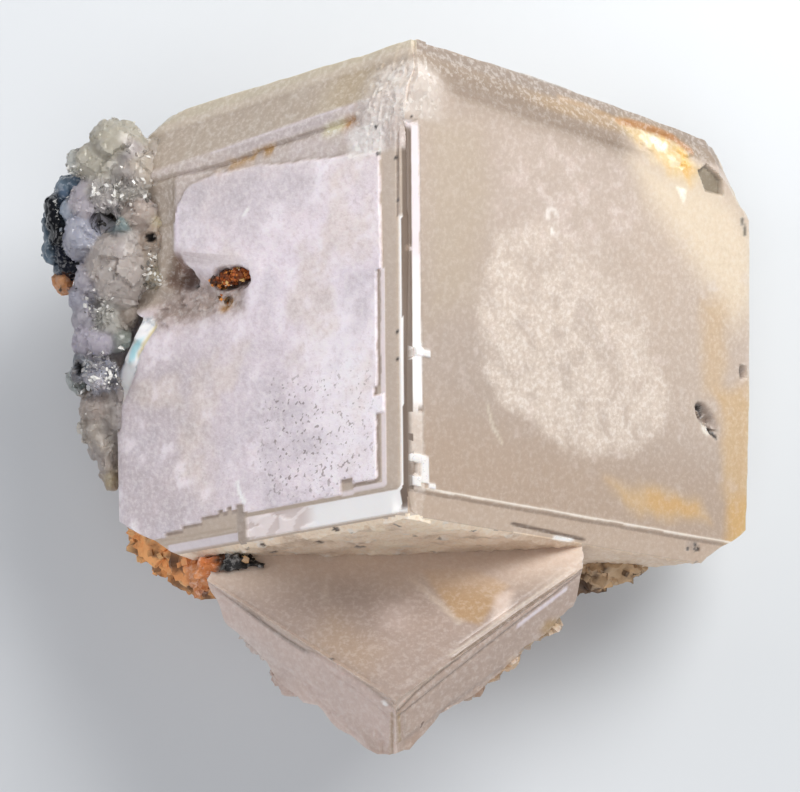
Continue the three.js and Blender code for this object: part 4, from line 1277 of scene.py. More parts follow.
def paint_lower_upper(look, l, r, places):
    place = flat(l, r)
    coat = Paint(len(l), (170, 152, 142), frost=0.25, clear=0.4, flecks=0.35)
    coat.shade(1 + 0.07 * rough_noise(place, 3, 115))
    # stains, and a pale pink patch that is a painted highlight: an outline, its blur, strength
    # and colour
    for outline, blur, strength, tint in (
        ([(7.2, 9.6), (4.9, 11.8), (2.2, 12.2), (1, 8.3), (2.4, 7.7)], 0.3, 0.75, (182, 148, 104)),
        ([(8.4, 3.2), (3.6, 2.7), (2.6, 0.2), (7.1, -0.4)], 1.2, 0.5, (178, 154, 130)),
        ([(6.8, 5.7), (5.5, 7.0), (3.8, 5.0), (5.1, 4.0)], 0.7, 0.6, (196, 178, 170)),
        # the painted highlight
        ([(2.2, 10.9), (1.7, 12.2), (0.3, 10.0), (0.6, 8.9)], 0.3, 0.8, (222, 204, 192)),
        ([(3.4, 12.9), (0.1, 16.0), (-0.6, 14.0), (1.6, 11.9)], 0.5, 0.5, (164, 146, 132)),
    ):
        coat.lay(patch(l, r, outline, blur) * strength, tint)
    # lines: from, to, width, blur, strength and colour
    for start, end, width, blur, strength, tint in (
        ((7.1, 8.6), (2.0, 7.6), 0.1, 0.25, 0.5, (214, 200, 184)),
        ((11.3, 5.6), (9.4, 3.5), 0.12, 0.2, 0.4, (206, 194, 180)),
        ((0.12, 16), (0.1, 5), 0.16, 0.12, 0.7, (138, 122, 108)),
        ((0.45, 16), (0.4, 5), 0.08, 0.12, 0.6, (214, 204, 190)),
    ):
        coat.lay(line(l, r, (start, end), width, blur) * strength, tint)
    coat.lay(rise(spot(l, r, (5.3, 0.1), (0.22, 0.22)), 0.1, 0.5), (46, 38, 34))
    # painted light: paler towards the main crystal, making up for the shade where the crystals meet
    out = places @ UNDER_NORMAL - UNDER_EXTENT
    coat.lay(fall(out, 0.0, 4.0), (228, 207, 190))
    return coat


def paint_lower_side(line_table, second):
    def paint(look, out, down, places):
        place = flat(out, down)
        groove = along(out, line_table)
        base = (192, 172, 160) if second else (220, 200, 191)
        coat = Paint(len(out), base, frost=0.45, clear=0.45, flecks=0.5)
        coat.shade(1 + 0.06 * rough_noise(place, 2.4, 116))
        coat.lay(rise(groove - down, 0.0, 0.12), (190, 170, 156), flecks=0.3)
        # painted shade in the groove, on the left face darker where the groove is deeper
        deep = 0.75 if second else 0.15 + 0.6 * band(out, 7.4, 15.0, 0.6)
        coat.lay(bell(down - groove, 0.14) * deep, (134, 116, 102))
        coat.lay(bell(down - groove + 0.28, 0.1) * 0.6, (224, 208, 198))
        if second:
            below = along(out, second)
            # painted shade in the second line
            coat.lay(bell(down - below, 0.1) * 0.6, (146, 130, 120))
            # a painted glint along the edge
            coat.lay(line(out, down, [(10.6, 0.95), (15.0, 0.75)], 0.16, 0.14) * 0.9,
                     (236, 226, 234), gloss=0.8)
            coat.lay(rise(spot(out, down, (2.0, 3.2), (0.7, 0.5)), 0, 0.5), pits=1.0)
        else:
            # a painted glint
            coat.lay(rise(spot(out, down, (0.9, 0.75), (0.3, 0.2)), 0, 0.5), WHITE, gloss=0.8)
            coat.lay(rise(out, 8, 13) * rise(down, 1.6, 3) * 0.5, (222, 214, 210))
        coat.lay(line(out, down, [(0.3, 1.2), (0.5, 6)], 0.1, 0.16) * 0.7, (168, 144, 112))
        lower = rise(down, 3.0, 5.0)
        coat.lay(lower * rise(rough_noise(place, 1.8, 117), -0.1, 0.4) * 0.6, (184, 156, 138))
        return coat

    return paint


# The faces of the two crystals: the plane that tells which face a place is on, the face that
# measures the place, and its painter
MAIN_CHARTS = [
    ((LEFT_NORMAL, 0.0), LEFT_FACE, paint_left),
    (LEFT_BAND, LEFT_FACE, paint_left),
    ((RIGHT_NORMAL, 0.0), RIGHT_FACE, paint_right),
    (RIGHT_BAND, RIGHT_FACE, paint_right),
    ((UNDER_NORMAL, UNDER_EXTENT), UNDER_FACE, paint_under),
    ((-UNDER_NORMAL, TOP_EXTENT), UNDER_FACE, paint_plain((208, 198, 186))),
    (through(-LEFT_NORMAL, RIGHT_END), LEFT_FACE, paint_plain((208, 194, 176))),
    (through(-RIGHT_NORMAL, LEFT_END), RIGHT_FACE, paint_plain((200, 190, 186))),
]
LOWER_CHARTS = [
    (through(face.normal, LOWER_CORNER), face, painter)
    for face, painter in (
        (LOWER_FACE, paint_lower_upper), (LOWER_LEFT, paint_lower_side(LEFT_LINE, None)),
        (LOWER_RIGHT, paint_lower_side(RIGHT_LINE, RIGHT_SECOND_LINE)),
    )
]


def paint_by_charts(mesh, charts, look):
    """Paints each face of the mesh with the painter of the crystal face that it lies on."""
    places, owner = corner_places(mesh)
    centres = stored(mesh.polygons, "center", 3) / MM - NEAR_CORNER
    gaps = np.stack([centres @ plane[0] - plane[1] for plane, _, _ in charts], axis=-1)
    nearest = np.argmax(gaps, axis=-1)[owner]
    whole = Paint(len(places), (128, 128, 128))
    for number, (_, face, painter) in enumerate(charts):
        mine = nearest == number
        if mine.any():
            a, b, _ = face.measure(places[mine])
            coat = painter(look, a, b, places[mine])
            whole.tint[mine], whole.parts[mine] = coat.tint, coat.parts
    return whole, places


def paint_flake(coat, places):
    """The broken flake on the left edge, with its white glare and split light painted in."""
    a, b, height = LEFT_FACE.measure(places)
    flake = patch(a, b, FLAKE, 0.12) * (height > -3.0)
    inner = to_line(a, b, FLAKE[:5])
    coat.lay(flake, (255, 255, 255), frost=0.0, gloss=1.0, clear=0.0, flecks=0.0, pits=0.0)
    upper = flake * rise(b, 13.2, 13.9)
    coat.lay(upper * fall(inner, 0.1, 0.5) * 0.7, (252, 228, 150))
    cyan = band(inner, 0.4, 1.0, 0.15) * band(b, 13.3, 14.7, 0.3)
    coat.lay(flake * cyan * 0.75, (160, 232, 244))
    coat.lay(flake * fall(b, 10.5, 11.6) * 0.35, (255, 220, 190))
    coat.lay(flake * rise(inner, 1.25, 1.5) * rise(-b, -15.0, -14.4) * 0.75, (116, 124, 142))
    coat.lay(flake * (cells(places, 0.4, 118)[1] > 0.95) * 0.5, (110, 116, 128))


def lay_lumps(coat, places, lumps):
    """Paints the places that are on lumps."""
    for centre, radii, tint, frost in lumps:
        distance = np.linalg.norm((places - centre) / radii, axis=-1)
        coat.lay(fall(distance, 1.0, 1.35), tint, frost=frost, flecks=0.6)


def make_crystals(look):
    material = mineral(
        "milky_calcite", ior=1.6, transmission=look.clearness, scatter=look.milkiness,
        fleck_size=0.35, bump_size=0.22, bump_height=0.05)
    upper, lower = main_crystal(look), lower_crystal()
    for piece, charts, lumps in ((upper, MAIN_CHARTS, []), (lower, LOWER_CHARTS, EDGE_LUMPS)):
        coat, places = paint_by_charts(piece.data, charts, look)
        lay_lumps(coat, places, lumps)
        if piece is upper:
            paint_flake(coat, places)
        coat.write(piece.data)
    combine(upper, [lower], "UNION")
    finish_mesh(upper)
    publish(upper, "milky_crystals", material, "calcite_crystals")


def publish(piece, name, material, node):
    """Names a finished piece, gives it its material, hides the part of model.glb that it stands
    for, and attaches it to the body.
    """
    piece.name = name
    piece.data.name = name
    piece.data.materials.clear()
    piece.data.materials.append(material)
    triangles = sum(len(polygon.vertices) - 2 for polygon in piece.data.polygons)
    print(name, triangles)
    if not triangles:
        raise RuntimeError(f"{name} is empty")
    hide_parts(node)
    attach(piece, BODY)


# Tiny crystals scattered over a surface


def scatter_tree():
    """Geometry nodes that stand tiny rhombs on a mesh where its "cover" attribute is high."""
    tree = bpy.data.node_groups.new("tiny_crystals", "GeometryNodeTree")
    sockets = tree.interface
    sockets.new_socket("Geometry", in_out="OUTPUT", socket_type="NodeSocketGeometry")
    sockets.new_socket("Geometry", in_out="INPUT", socket_type="NodeSocketGeometry")
    for name, kind in (("Spacing", "Float"), ("Width", "Float"), ("Length", "Float"),
                       ("Tilt", "Float"), ("Seed", "Int"), ("Material", "Material")):
        sockets.new_socket(name, in_out="INPUT", socket_type=f"NodeSocket{kind}")
    given = tree.nodes.new("NodeGroupInput").outputs
    cover = make(tree, "GeometryNodeInputNamedAttribute", {"Name": "cover"}, data_type="FLOAT")
    points = make(tree, "GeometryNodeDistributePointsOnFaces", {
        "Mesh": given["Geometry"], "Distance Min": given["Spacing"], "Density Max": 2.0e8,
        "Density Factor": cover, "Seed": given["Seed"],
    }, distribute_method="POISSON")
    # a cube stood on its corner and stretched: a rhomb
    cube = make(tree, "GeometryNodeMeshCube", {"Size": (1, 1, 1)})
    stood = make(tree, "GeometryNodeTransform", {
        "Geometry": cube, "Rotation": (math.radians(45), math.radians(-35.264), 0),
    })
    size = make(tree, "ShaderNodeCombineXYZ", {
        "X": given["Width"], "Y": given["Width"], "Z": given["Length"],
    })
    rhomb = make(tree, "GeometryNodeTransform", {"Geometry": stood, "Scale": size})
    # each rhomb leans its own way and has its own size and number
    lean = make(tree, "ShaderNodeCombineXYZ", {"X": given["Tilt"], "Y": given["Tilt"], "Z": 3.14})
    back = make(tree, "ShaderNodeVectorMath", {0: lean, "Scale": -1}, operation="SCALE")
    random = "FunctionNodeRandomValue"
    turn = make(tree, random, {0: back, 1: lean, "Seed": given["Seed"]}, data_type="FLOAT_VECTOR")
    growth = make(tree, random, {2: 0.45, 3: 1.25}, data_type="FLOAT")
    number = make(tree, random, {2: 0.01, "Seed": 7}, data_type="FLOAT")
    rotation = make(tree, "FunctionNodeRotateRotation", {
        "Rotation": points.outputs["Rotation"],
        "Rotate By": make(tree, "FunctionNodeEulerToRotation", {"Euler": turn}),
    }, rotation_space="LOCAL")
    grown = make(tree, "GeometryNodeInstanceOnPoints", {
        "Points": points, "Instance": rhomb, "Rotation": rotation, "Scale": growth.outputs[1],
    })
    marked = make(tree, "GeometryNodeStoreNamedAttribute", {
        "Geometry": grown, "Name": "crystal", "Value": number.outputs[1],
    }, data_type="FLOAT", domain="INSTANCE")
    joined = make(tree, "GeometryNodeJoinGeometry", {"Geometry": marked})
    put(tree, joined.inputs["Geometry"], given["Geometry"])
    real = make(tree, "GeometryNodeRealizeInstances", {"Geometry": joined})
    dressed = make(tree, "GeometryNodeSetMaterial", {
        "Geometry": real, "Material": given["Material"],
    })
    make(tree, "NodeGroupOutput", {"Geometry": dressed})
    return tree


def grow_tiny_crystals(piece, cover, material, spacing, width, length, tilt, seed):
    """Stands tiny crystals on a piece where cover, worked out from the places of its vertices,
    is high. Sizes are in millimetres."""
    layer = piece.data.attributes.new("cover", "FLOAT", "POINT")
    covered = np.clip(cover(vertex_places(piece.data)), 0, 1)
    layer.data.foreach_set("value", covered.astype(np.float32))
    tree = bpy.data.node_groups.get("tiny_crystals") or scatter_tree()
    change = piece.modifiers.new("tiny_crystals", "NODES")
    change.node_group = tree
    values = {
        "Spacing": spacing * MM, "Width": width * MM, "Length": length * MM, "Tilt": tilt,
        "Seed": seed, "Material": material,
    }
    for socket in tree.interface.items_tree:
        if socket.in_out == "INPUT" and socket.name in values:
            change[socket.identifier] = values[socket.name]
    bake(piece)
    if "crystal" not in piece.data.attributes:
        raise RuntimeError(f"no tiny crystals grew on {piece.name}")


def crystal_numbers(mesh):
    """The number of the tiny crystal that each face corner belongs to, 0 on other surfaces."""
    numbers = stored(mesh.attributes["crystal"].data, "value")
    index = stored(mesh.loops, "vertex_index", kind=np.int32)
    for name in ("crystal", "cover"):
        mesh.attributes.remove(mesh.attributes[name])
    return numbers[index].astype(float)


# Rounded and craggy masses

# Small crystals of the left flank: place, radii, colour and frost
CLUSTER = [
    # top domes
    ((-19.6, 24.0, -12.4), (2.1, 1.75, 2.2), (190, 184, 168), 0.2),
    ((-21.0, 22.9, -12.6), (1.8, 1.5, 2.0), (196, 190, 174), 0.2),
    ((-22.5, 22.8, -13.4), (0.9, 1.2, 1.7), (186, 188, 182), 0.1),
    ((-18.1, 21.9, -11.8), (1.6, 1.6, 2.0), (194, 182, 168), 0.2),
    ((-18.7, 23.4, -12.1), (1.1, 1.3, 1.9), (196, 186, 186), 0.2),
    ((-17.1, 22.8, -13.4), (1.4, 2.2, 2.4), (190, 178, 164), 0.3),
    ((-20.0, 22.3, -12.6), (2.0, 1.6, 1.9), (188, 182, 168), 0.3),
    # glittering belt and the ground around the black hollow
    ((-18.7, 20.8, -11.6), (1.8, 0.9, 1.5), (206, 200, 188), 0.6),
    ((-20.7, 20.8, -11.9), (1.2, 1.2, 1.8), (190, 184, 180), 0.3),
    ((-21.7, 20.0, -12.2), (1.2, 1.6, 1.9), (188, 181, 190), 0.2),
    ((-20.1, 19.9, -11.5), (1.1, 0.8, 1.2), (196, 188, 188), 0.4),
    ((-19.2, 18.4, -11.4), (0.8, 0.85, 1.4), (122, 142, 144), 0.1),
    ((-22.1, 17.7, -12.2), (1.4, 1.6, 2.0), (178, 180, 196), 0.1),
    ((-22.7, 19.3, -12.8), (0.9, 1.15, 1.6), (156, 168, 184), 0.1),
    ((-18.0, 19.3, -11.9), (1.5, 1.6, 1.8), (190, 174, 164), 0.4),
    ((-17.0, 17.5, -12.2), (1.5, 1.7, 2.0), (176, 156, 140), 0.4),
    ((-16.5, 18.4, -11.2), (0.6, 0.7, 0.8), (216, 200, 166), 0.8),
    # big block, yellow crust beside it, and the ochre lump on the outer side
    ((-19.5, 15.6, -11.9), (2.3, 2.7, 2.6), (194, 184, 178), 0.4),
    ((-18.9, 17.3, -11.6), (1.3, 1.3, 1.6), (188, 180, 176), 0.4),
    ((-17.3, 15.8, -12.2), (1.2, 1.9, 2.0), (178, 162, 146), 0.5),
    ((-16.8, 14.9, -11.6), (1.0, 1.0, 1.3), (204, 188, 154), 0.9),
    ((-21.3, 14.6, -12.4), (1.3, 1.5, 2.0), (180, 176, 188), 0.2),
    ((-21.9, 13.6, -12.4), (1.2, 1.1, 1.7), (170, 170, 186), 0.2),
    ((-23.5, 14.7, -13.4), (0.7, 0.95, 1.3), (206, 146, 96), 0.9),
    ((-23.5, 14.3, -12.3), (0.26, 0.4, 0.4), (24, 16, 12), 0.6),
    # lower chain
    ((-20.3, 12.3, -12.5), (1.1, 1.4, 2.0), (184, 182, 174), 0.3),
    ((-21.5, 12.4, -12.5), (1.2, 1.3, 1.8), (172, 168, 178), 0.1),
    ((-19.1, 12.5, -12.6), (0.9, 1.0, 1.4), (150, 136, 124), 0.4),
    ((-19.8, 10.8, -12.8), (1.1, 0.9, 1.4), (126, 134, 126), 0.1),
    ((-21.2, 10.7, -12.6), (1.5, 1.2, 2.0), (186, 180, 194), 0.2),
    ((-21.9, 9.1, -13.0), (0.95, 1.15, 1.6), (122, 138, 150), 0.1),
    ((-22.15, 9.2, -11.9), (0.36, 0.4, 0.6), (10, 12, 16), 0.2),
    ((-22.3, 8.4, -12.2), (0.28, 0.35, 0.6), (12, 14, 18), 0.2),
    ((-20.7, 8.4, -12.6), (1.2, 1.2, 1.7), (160, 162, 178), 0.1),
    ((-20.7, 7.9, -11.4), (0.6, 0.55, 0.7), (214, 210, 220), 0.1),
    ((-19.75, 8.0, -12.0), (0.3, 0.7, 0.8), (40, 42, 54), 0.1),
    ((-22.7, 8.1, -14.4), (0.75, 1.2, 1.6), (162, 168, 166), 0.1),
    ((-21.4, 6.3, -13.8), (1.25, 1.3, 2.0), (176, 164, 156), 0.5),
    ((-21.5, 4.9, -14.6), (1.15, 1.3, 1.9), (184, 174, 164), 0.5),
    ((-22.4, 4.7, -14.4), (0.4, 0.6, 0.8), (226, 220, 208), 0.5),
    ((-20.9, 3.6, -14.8), (1.0, 1.3, 1.9), (180, 170, 160), 0.5),
    ((-20.7, 2.3, -15.2), (0.8, 1.1, 1.8), (176, 164, 150), 0.5),
    ((-20.4, 1.2, -15.4), (0.5, 0.9, 1.6), (180, 164, 132), 0.5),
    # what they stand on
    ((-19.4, 20.6, -14.8), (3.3, 3.9, 2.6), (180, 172, 162), 0.5),
    ((-20.6, 12.6, -15.0), (2.4, 4.6, 2.6), (160, 156, 160), 0.4),
    ((-20.0, 7.0, -15.6), (1.8, 4.6, 3.0), (160, 150, 144), 0.5),
    ((-18.6, 17.0, -16.8), (3.4, 5.4, 4.0), (160, 146, 132), 0.6),
    ((-18.6, 8.6, -17.6), (3.0, 6.0, 3.8), (160, 146, 132), 0.6),
    ((-21.3, 18.6, -14.8), (1.8, 3.6, 2.4), (150, 154, 166), 0.4),
]

# The blue-black crust on the outer side, with a paler clear fringe
DARK_CRUST = [
    ((-22.3, 21.4, -13.6), (0.9, 0.8, 1.4), (92, 110, 128), 0.1),
    ((-23.2, 21.2, -14.0), (0.8, 0.85, 1.4), (112, 130, 146), 0.1),
    ((-23.3, 20.5, -13.9), (0.85, 0.8, 1.4), (84, 102, 124), 0.1),
    ((-24.0, 19.9, -13.6), (0.75, 0.9, 1.5), (6, 8, 14), 0.1),
    ((-23.8, 18.9, -13.4), (0.85, 1.0, 1.6), (5, 6, 12), 0.1),
    ((-23.0, 19.4, -13.6), (0.6, 1.0, 1.5), (104, 120, 140), 0.1),
    ((-24.5, 18.7, -14.6), (0.5, 1.4, 1.4), (92, 110, 126), 0.1),
    ((-23.5, 17.8, -13.4), (0.85, 1.0, 1.6), (5, 6, 12), 0.1),
    ((-24.2, 16.9, -14.2), (0.75, 0.9, 1.5), (106, 124, 140), 0.1),
    ((-23.2, 16.7, -13.4), (0.85, 0.9, 1.5), (10, 14, 34), 0.1),
    ((-22.7, 15.8, -13.4), (1.0, 0.8, 1.4), (10, 12, 26), 0.1),
    ((-23.4, 15.6, -14.0), (0.75, 0.7, 1.2), (84, 98, 114), 0.1),
    ((-23.1, 18.4, -15.4), (1.3, 2.9, 1.8), (22, 28, 42), 0.1),
]

# Rusty grains in the pocket of the left face
POCKET_CRUST = [
    ((-10.9, 15.0, -7.1), (0.75, 0.55, 0.6), (176, 92, 36), 0.8),
    ((-11.7, 14.8, -7.6), (0.75, 0.6, 0.6), (150, 76, 30), 0.8),
    ((-12.5, 14.6, -8.2), (0.65, 0.5, 0.55), (104, 58, 28), 0.8),
    ((-12.0, 13.5, -8.1), (0.45, 0.55, 0.5), (190, 140, 62), 0.8),
]

# The rock: a low mound, and the knobs that show past the crystals
ROCK = [
    ((2.0, 5.0, -25.0), (18.0, 15.6, 8.5), (176, 128, 86), 0.9),
    ((-15.9, -2.2, -17.8), (3.7, 3.4, 4.4), (240, 172, 108), 0.9),
    ((-13.6, -3.6, -22.4), (4.4, 4.2, 4.8), (200, 142, 88), 0.9),
    ((-13.6, 12.0, -22.0), (5.2, 6.2, 5.4), (152, 108, 74), 0.9),
    ((14.4, -4.2, -19.4), (3.6, 3.0, 3.6), (196, 166, 132), 0.9),
    ((12.0, -4.0, -23.0), (4.8, 4.0, 5.4), (112, 84, 58), 0.9),
    ((-0.5, -9.3, -22.2), (7.2, 5.4, 6.2), (170, 124, 88), 0.9),
    ((-11.7, -4.1, -10.3), (2.2, 1.0, 1.3), (16, 12, 10), 0.4),
    ((-13.3, -4.4, -11.0), (1.0, 0.9, 1.5), (206, 122, 64), 0.9),
    ((-14.1, -5.3, -12.0), (0.8, 1.3, 1.8), (206, 136, 84), 0.6),
    ((-14.6, -4.2, -14.0), (1.6, 2.2, 2.6), (232, 160, 100), 0.9),
]


def blob(lumps, voxel):
    """One closed skin around ellipsoids."""
    mesh = bpy.data.meshes.new("blob")
    with edited(mesh) as form:
        for centre, radii, *_ in lumps:
            made = bmesh.ops.create_icosphere(form, subdivisions=4, radius=1.0)
            for vertex in made["verts"]:
                vertex.co = (np.array(vertex.co) * radii + centre + NEAR_CORNER) * MM
    piece = link("blob", mesh)
    skin = piece.modifiers.new("skin", "REMESH")
    skin.mode = "VOXEL"
    skin.voxel_size = voxel * MM
    bake(piece)
    return piece


def push_out(piece, amount):
    """Moves each vertex along its normal by a number worked out from all the places."""
    mesh = piece.data
    places = vertex_places(mesh)
    places += stored(mesh.vertex_normals, "vector", 3) * amount(places)[:, None]
    mesh.vertices.foreach_set("co", ((places + NEAR_CORNER) * MM).astype(np.float32).ravel())
    mesh.update()


def paint_by_lumps(mesh, lumps, clear, warp, seed):
    """Paints a mass with the colour of the lump that each place is nearest to."""
    places, _ = corner_places(mesh)
    bend = np.stack([rough_noise(places, 0.9, seed + i, 2) for i in range(3)], axis=-1) * warp
    gaps = np.stack([
        (np.linalg.norm((places + bend - centre) / radii, axis=-1) - 1) * min(radii)
        for centre, radii, _, _ in lumps
    ])
    blur = 0.09
    weights = np.exp(-gaps / blur + np.min(gaps, axis=0) / blur)
    weights /= weights.sum(axis=0)
    tints = np.array([linear(tint) for _, _, tint, _ in lumps])
    frosts = np.array([frost for _, _, _, frost in lumps])
    coat = Paint(len(places), (128, 128, 128), clear=clear)
    coat.tint = weights.T @ tints
    coat.parts[:, 0] = weights.T @ frosts
    return coat, places


def near_lumps(places, lumps):
    """1 at the middle of the given lumps, fading to 0 at one and a half times their size."""
    cover = np.zeros(len(places))
    for centre, radii, *_ in lumps:
        distance = np.linalg.norm((places - centre) / radii, axis=-1)
        cover = np.maximum(cover, fall(distance, 0.6, 1.5))
    return cover


# Hollows between the small crystals, pushed in and painted black as shade: place and radii
HOLLOWS = [
    ((-20.4, 18.75, -12.8), (0.8, 0.6, 2.6)), ((-17.2, 17.6, -11.0), (0.4, 0.3, 1.4)),
    ((-22.2, 8.9, -11.4), (0.3, 0.4, 1.2)),
]

# Where the small crystals glitter most
BELT = [
    ((-18.6, 20.8, -10.9), (2.2, 0.7, 1.6)), ((-19.9, 19.9, -10.8), (1.3, 0.6, 1.4)),
    ((-22.4, 22.0, -12.0), (0.5, 0.5, 1.0)), ((-20.7, 12.7, -10.9), (0.9, 1.2, 1.2)),
    ((-20.7, 8.6, -11.4), (1.3, 1.2, 1.2)), ((-16.8, 15.2, -11.0), (0.9, 1.6, 1.4)),
]


def make_cluster(look):
    piece = blob(CLUSTER, voxel=0.13)
    push_out(piece, lambda places: 0.25 * rough_noise(places, 1.7, 200, 2) - 0.06)
    push_out(piece, lambda places: 0.2 * facets(places, 1.5, 201))
    push_out(piece, lambda places: 0.07 * facets(places, 0.5, 205) - 0.03)
    push_out(piece, lambda places: -1.1 * near_lumps(places, HOLLOWS))
    material = mineral(
        "grey_crystal", ior=1.55, transmission=look.clearness, scatter=0.25, fleck_size=0.3,
        bump_size=0.2, bump_height=0.02)

    def cover(places):
        patchy = rise(rough_noise(places, 1.6, 208), -0.1, 0.5)
        return 0.12 * patchy + near_lumps(places, BELT)

    grow_tiny_crystals(piece, cover, material, look.crystal_spacing / MM,
                       look.crystal_width / MM, look.crystal_length / MM, tilt=1.1, seed=11)
    finish_mesh(piece, angle=22)
    number = crystal_numbers(piece.data)
    coat, places = paint_by_lumps(piece.data, CLUSTER, clear=0.9, warp=0.35, seed=210)
    coat.shade(look.brightness + 0.18 * rough_noise(places, 0.7, 214))
    coat.lay(0.35 * rise(rough_noise(places, 2.4, 216, 2), 0, 0.5), (186, 180, 190))
    # tiny crystals: paler and glossy, the brightest painted white as glints, a few dark
    grown = number > 0
    coat.lay(grown * 0.5, (206, 200, 192), frost=0.1, gloss=0.8)
    coat.lay(grown * (number > 0.7) * 0.95, (255, 253, 246), gloss=1.0, clear=0.1)
    coat.lay(grown * (number < 0.12) * 0.7, (92, 92, 88), gloss=1.0)
    coat.lay(1, flecks=0.3, glitter=0.12)
    # painted shade: the hollows are painted black
    coat.lay(rise(near_lumps(places, HOLLOWS), 0.3, 0.6) * 0.96, (10, 10, 12), clear=0.0, flecks=0,
             glitter=0)
    coat.write(piece.data)
    publish(piece, "small_crystals", material, "small_crystal_cluster")


def make_dark_crust(look):
    piece = blob(DARK_CRUST, voxel=0.12)

    def botryoids(places):
        distance, number, _ = cells(places, 0.6, 221)
        return 0.2 * (0.6 + 0.4 * number) * (0.8 - distance**2 * 1.6)

    push_out(piece, botryoids)
    push_out(piece, lambda places: 0.06 * facets(places, 0.5, 223))
    material = mineral(
        "dark_mineral", ior=1.5, transmission=0.5, scatter=0.0, fleck_size=0.3, bump_size=0.15,
        bump_height=0.02)

    def cover(places):
        return 0.12 * rise(rough_noise(places, 1.2, 224), -0.1, 0.4)

    grow_tiny_crystals(piece, cover, material, spacing=0.3, width=0.2, length=0.34, tilt=0.8,
                       seed=21)
    finish_mesh(piece, angle=30)
    number = crystal_numbers(piece.data)
    coat, places = paint_by_lumps(piece.data, DARK_CRUST, clear=0.5, warp=0.3, seed=225)
    coat.shade(look.crust_brightness + 0.3 * rough_noise(places, 0.6, 226))
    coat.lay((number > 0) * (number < 0.12) * 0.5, (150, 164, 178))
    coat.lay(1, gloss=1.0)
    coat.write(piece.data)
    publish(piece, "blue_black_crust", material, "dark_crust")


def make_pocket_crust(look):
    piece = blob(POCKET_CRUST, voxel=0.1)
    push_out(piece, lambda places: 0.12 * facets(places, 0.4, 231) - 0.12)
    material = mineral(
        "rusty_crust", ior=1.5, transmission=0.0, scatter=0.0, fleck_size=0.2, bump_size=0.1,
        bump_height=0.03)
    grow_tiny_crystals(
        piece, lambda places: np.ones(len(places)), material, spacing=0.17,
        width=look.grain_size / MM, length=1.25 * look.grain_size / MM, tilt=0.9, seed=31)
    finish_mesh(piece, angle=25)
    number = crystal_numbers(piece.data)
    coat, places = paint_by_lumps(piece.data, POCKET_CRUST, clear=0.0, warp=0.5, seed=235)
    grown = number > 0
    coat.shade(0.65 + 0.35 * grown)
    for low, high, tint, gloss in (
        (0.0, 0.22, (28, 18, 14), 0.6), (0.22, 0.34, (232, 150, 72), 0.0),
        (0.34, 0.5, shown(look.rust_colour), 0.0), (0.5, 0.6, (120, 62, 30), 0.0),
        (0.6, 0.68, (226, 190, 120), 0.3), (0.68, 0.72, (250, 236, 214), 0.9),
    ):
        coat.lay(grown * (number > low) * (number <= high) * 0.85, tint, frost=0.5, gloss=gloss)
    coat.write(piece.data)
    publish(piece, "rusty_grains", material, "pocket_crust")


def make_rock(look):
    piece = blob(ROCK, voxel=0.3)

    def crags(places):
        bumps = 1.1 * rough_noise(places, 5.2, 241, 4) + 0.6 * facets(places, 2.4, 245)
        calm = 1 - 0.85 * near_lumps(places, ROCK[-4:])
        return calm * (bumps - 0.5) + 0.26 * facets(places, 0.8, 249)

    push_out(piece, crags)
    sides = walls((0, 0, 0), 60, (1, 0, 0), (-1, 0, 0), (0, 1, 0), (0, -1, 0))
    combine(piece, [convex([(UP, 0.0), (-UP, NEAR_CORNER[2]), *sides])], "INTERSECT")
    material = mineral(
        "matrix", ior=1.5, transmission=0.0, scatter=0.0, fleck_size=0.5, bump_size=0.25,
        bump_height=0.12)

    def cover(places):
        patchy = 0.6 * rise(rough_noise(places, 3.0, 252), -0.2, 0.5)
        return patchy * rise(places[:, 2], -27, -25)

    grow_tiny_crystals(piece, cover, material, spacing=0.55, width=look.crumb_size / MM,
                       length=1.2 * look.crumb_size / MM, tilt=1.2, seed=41)
    number = crystal_numbers(piece.data)
    coat, places = paint_by_lumps(piece.data, ROCK, clear=0.0, warp=1.0, seed=255)
    dark = rise(rough_noise(places, 2.2, 261, 4), 0.1, 0.4)
    coat.lay(dark * 0.75, shown(look.dark_colour))
    coat.lay(rise(rough_noise(places, 0.8, 263), 0.15, 0.35) * 0.7, (70, 46, 30))
    coat.lay(rise(rough_noise(places, 1.3, 265), 0.25, 0.5) * 0.7, (226, 182, 130))
    lay_lumps(coat, places, ROCK[-4:-1])
    coat.lay((number > 0.8) * 0.8, (232, 186, 130))
    coat.lay((number > 0) * (number < 0.25) * 0.7, (60, 42, 30))
    coat.write(piece.data)
    finish_mesh(piece, angle=40)
    publish(piece, "rusty_rock", material, "matrix_rock")


def make_stage(look):
    material, _, shader = new_material("pale_floor")
    shader.inputs["Base Color"].default_value = (*linear(shown(look.floor_colour)), 1)
    shader.inputs["Roughness"].default_value = 0.8
    half = 0.8
    mesh = bpy.data.meshes.new("floor")
    mesh.from_pydata([(-half, -half, 0), (half, -half, 0), (half, half, 0), (-half, half, 0)], [],
                     [(0, 1, 2, 3)])
    mesh.materials.append(material)
    floor = link("floor", mesh)


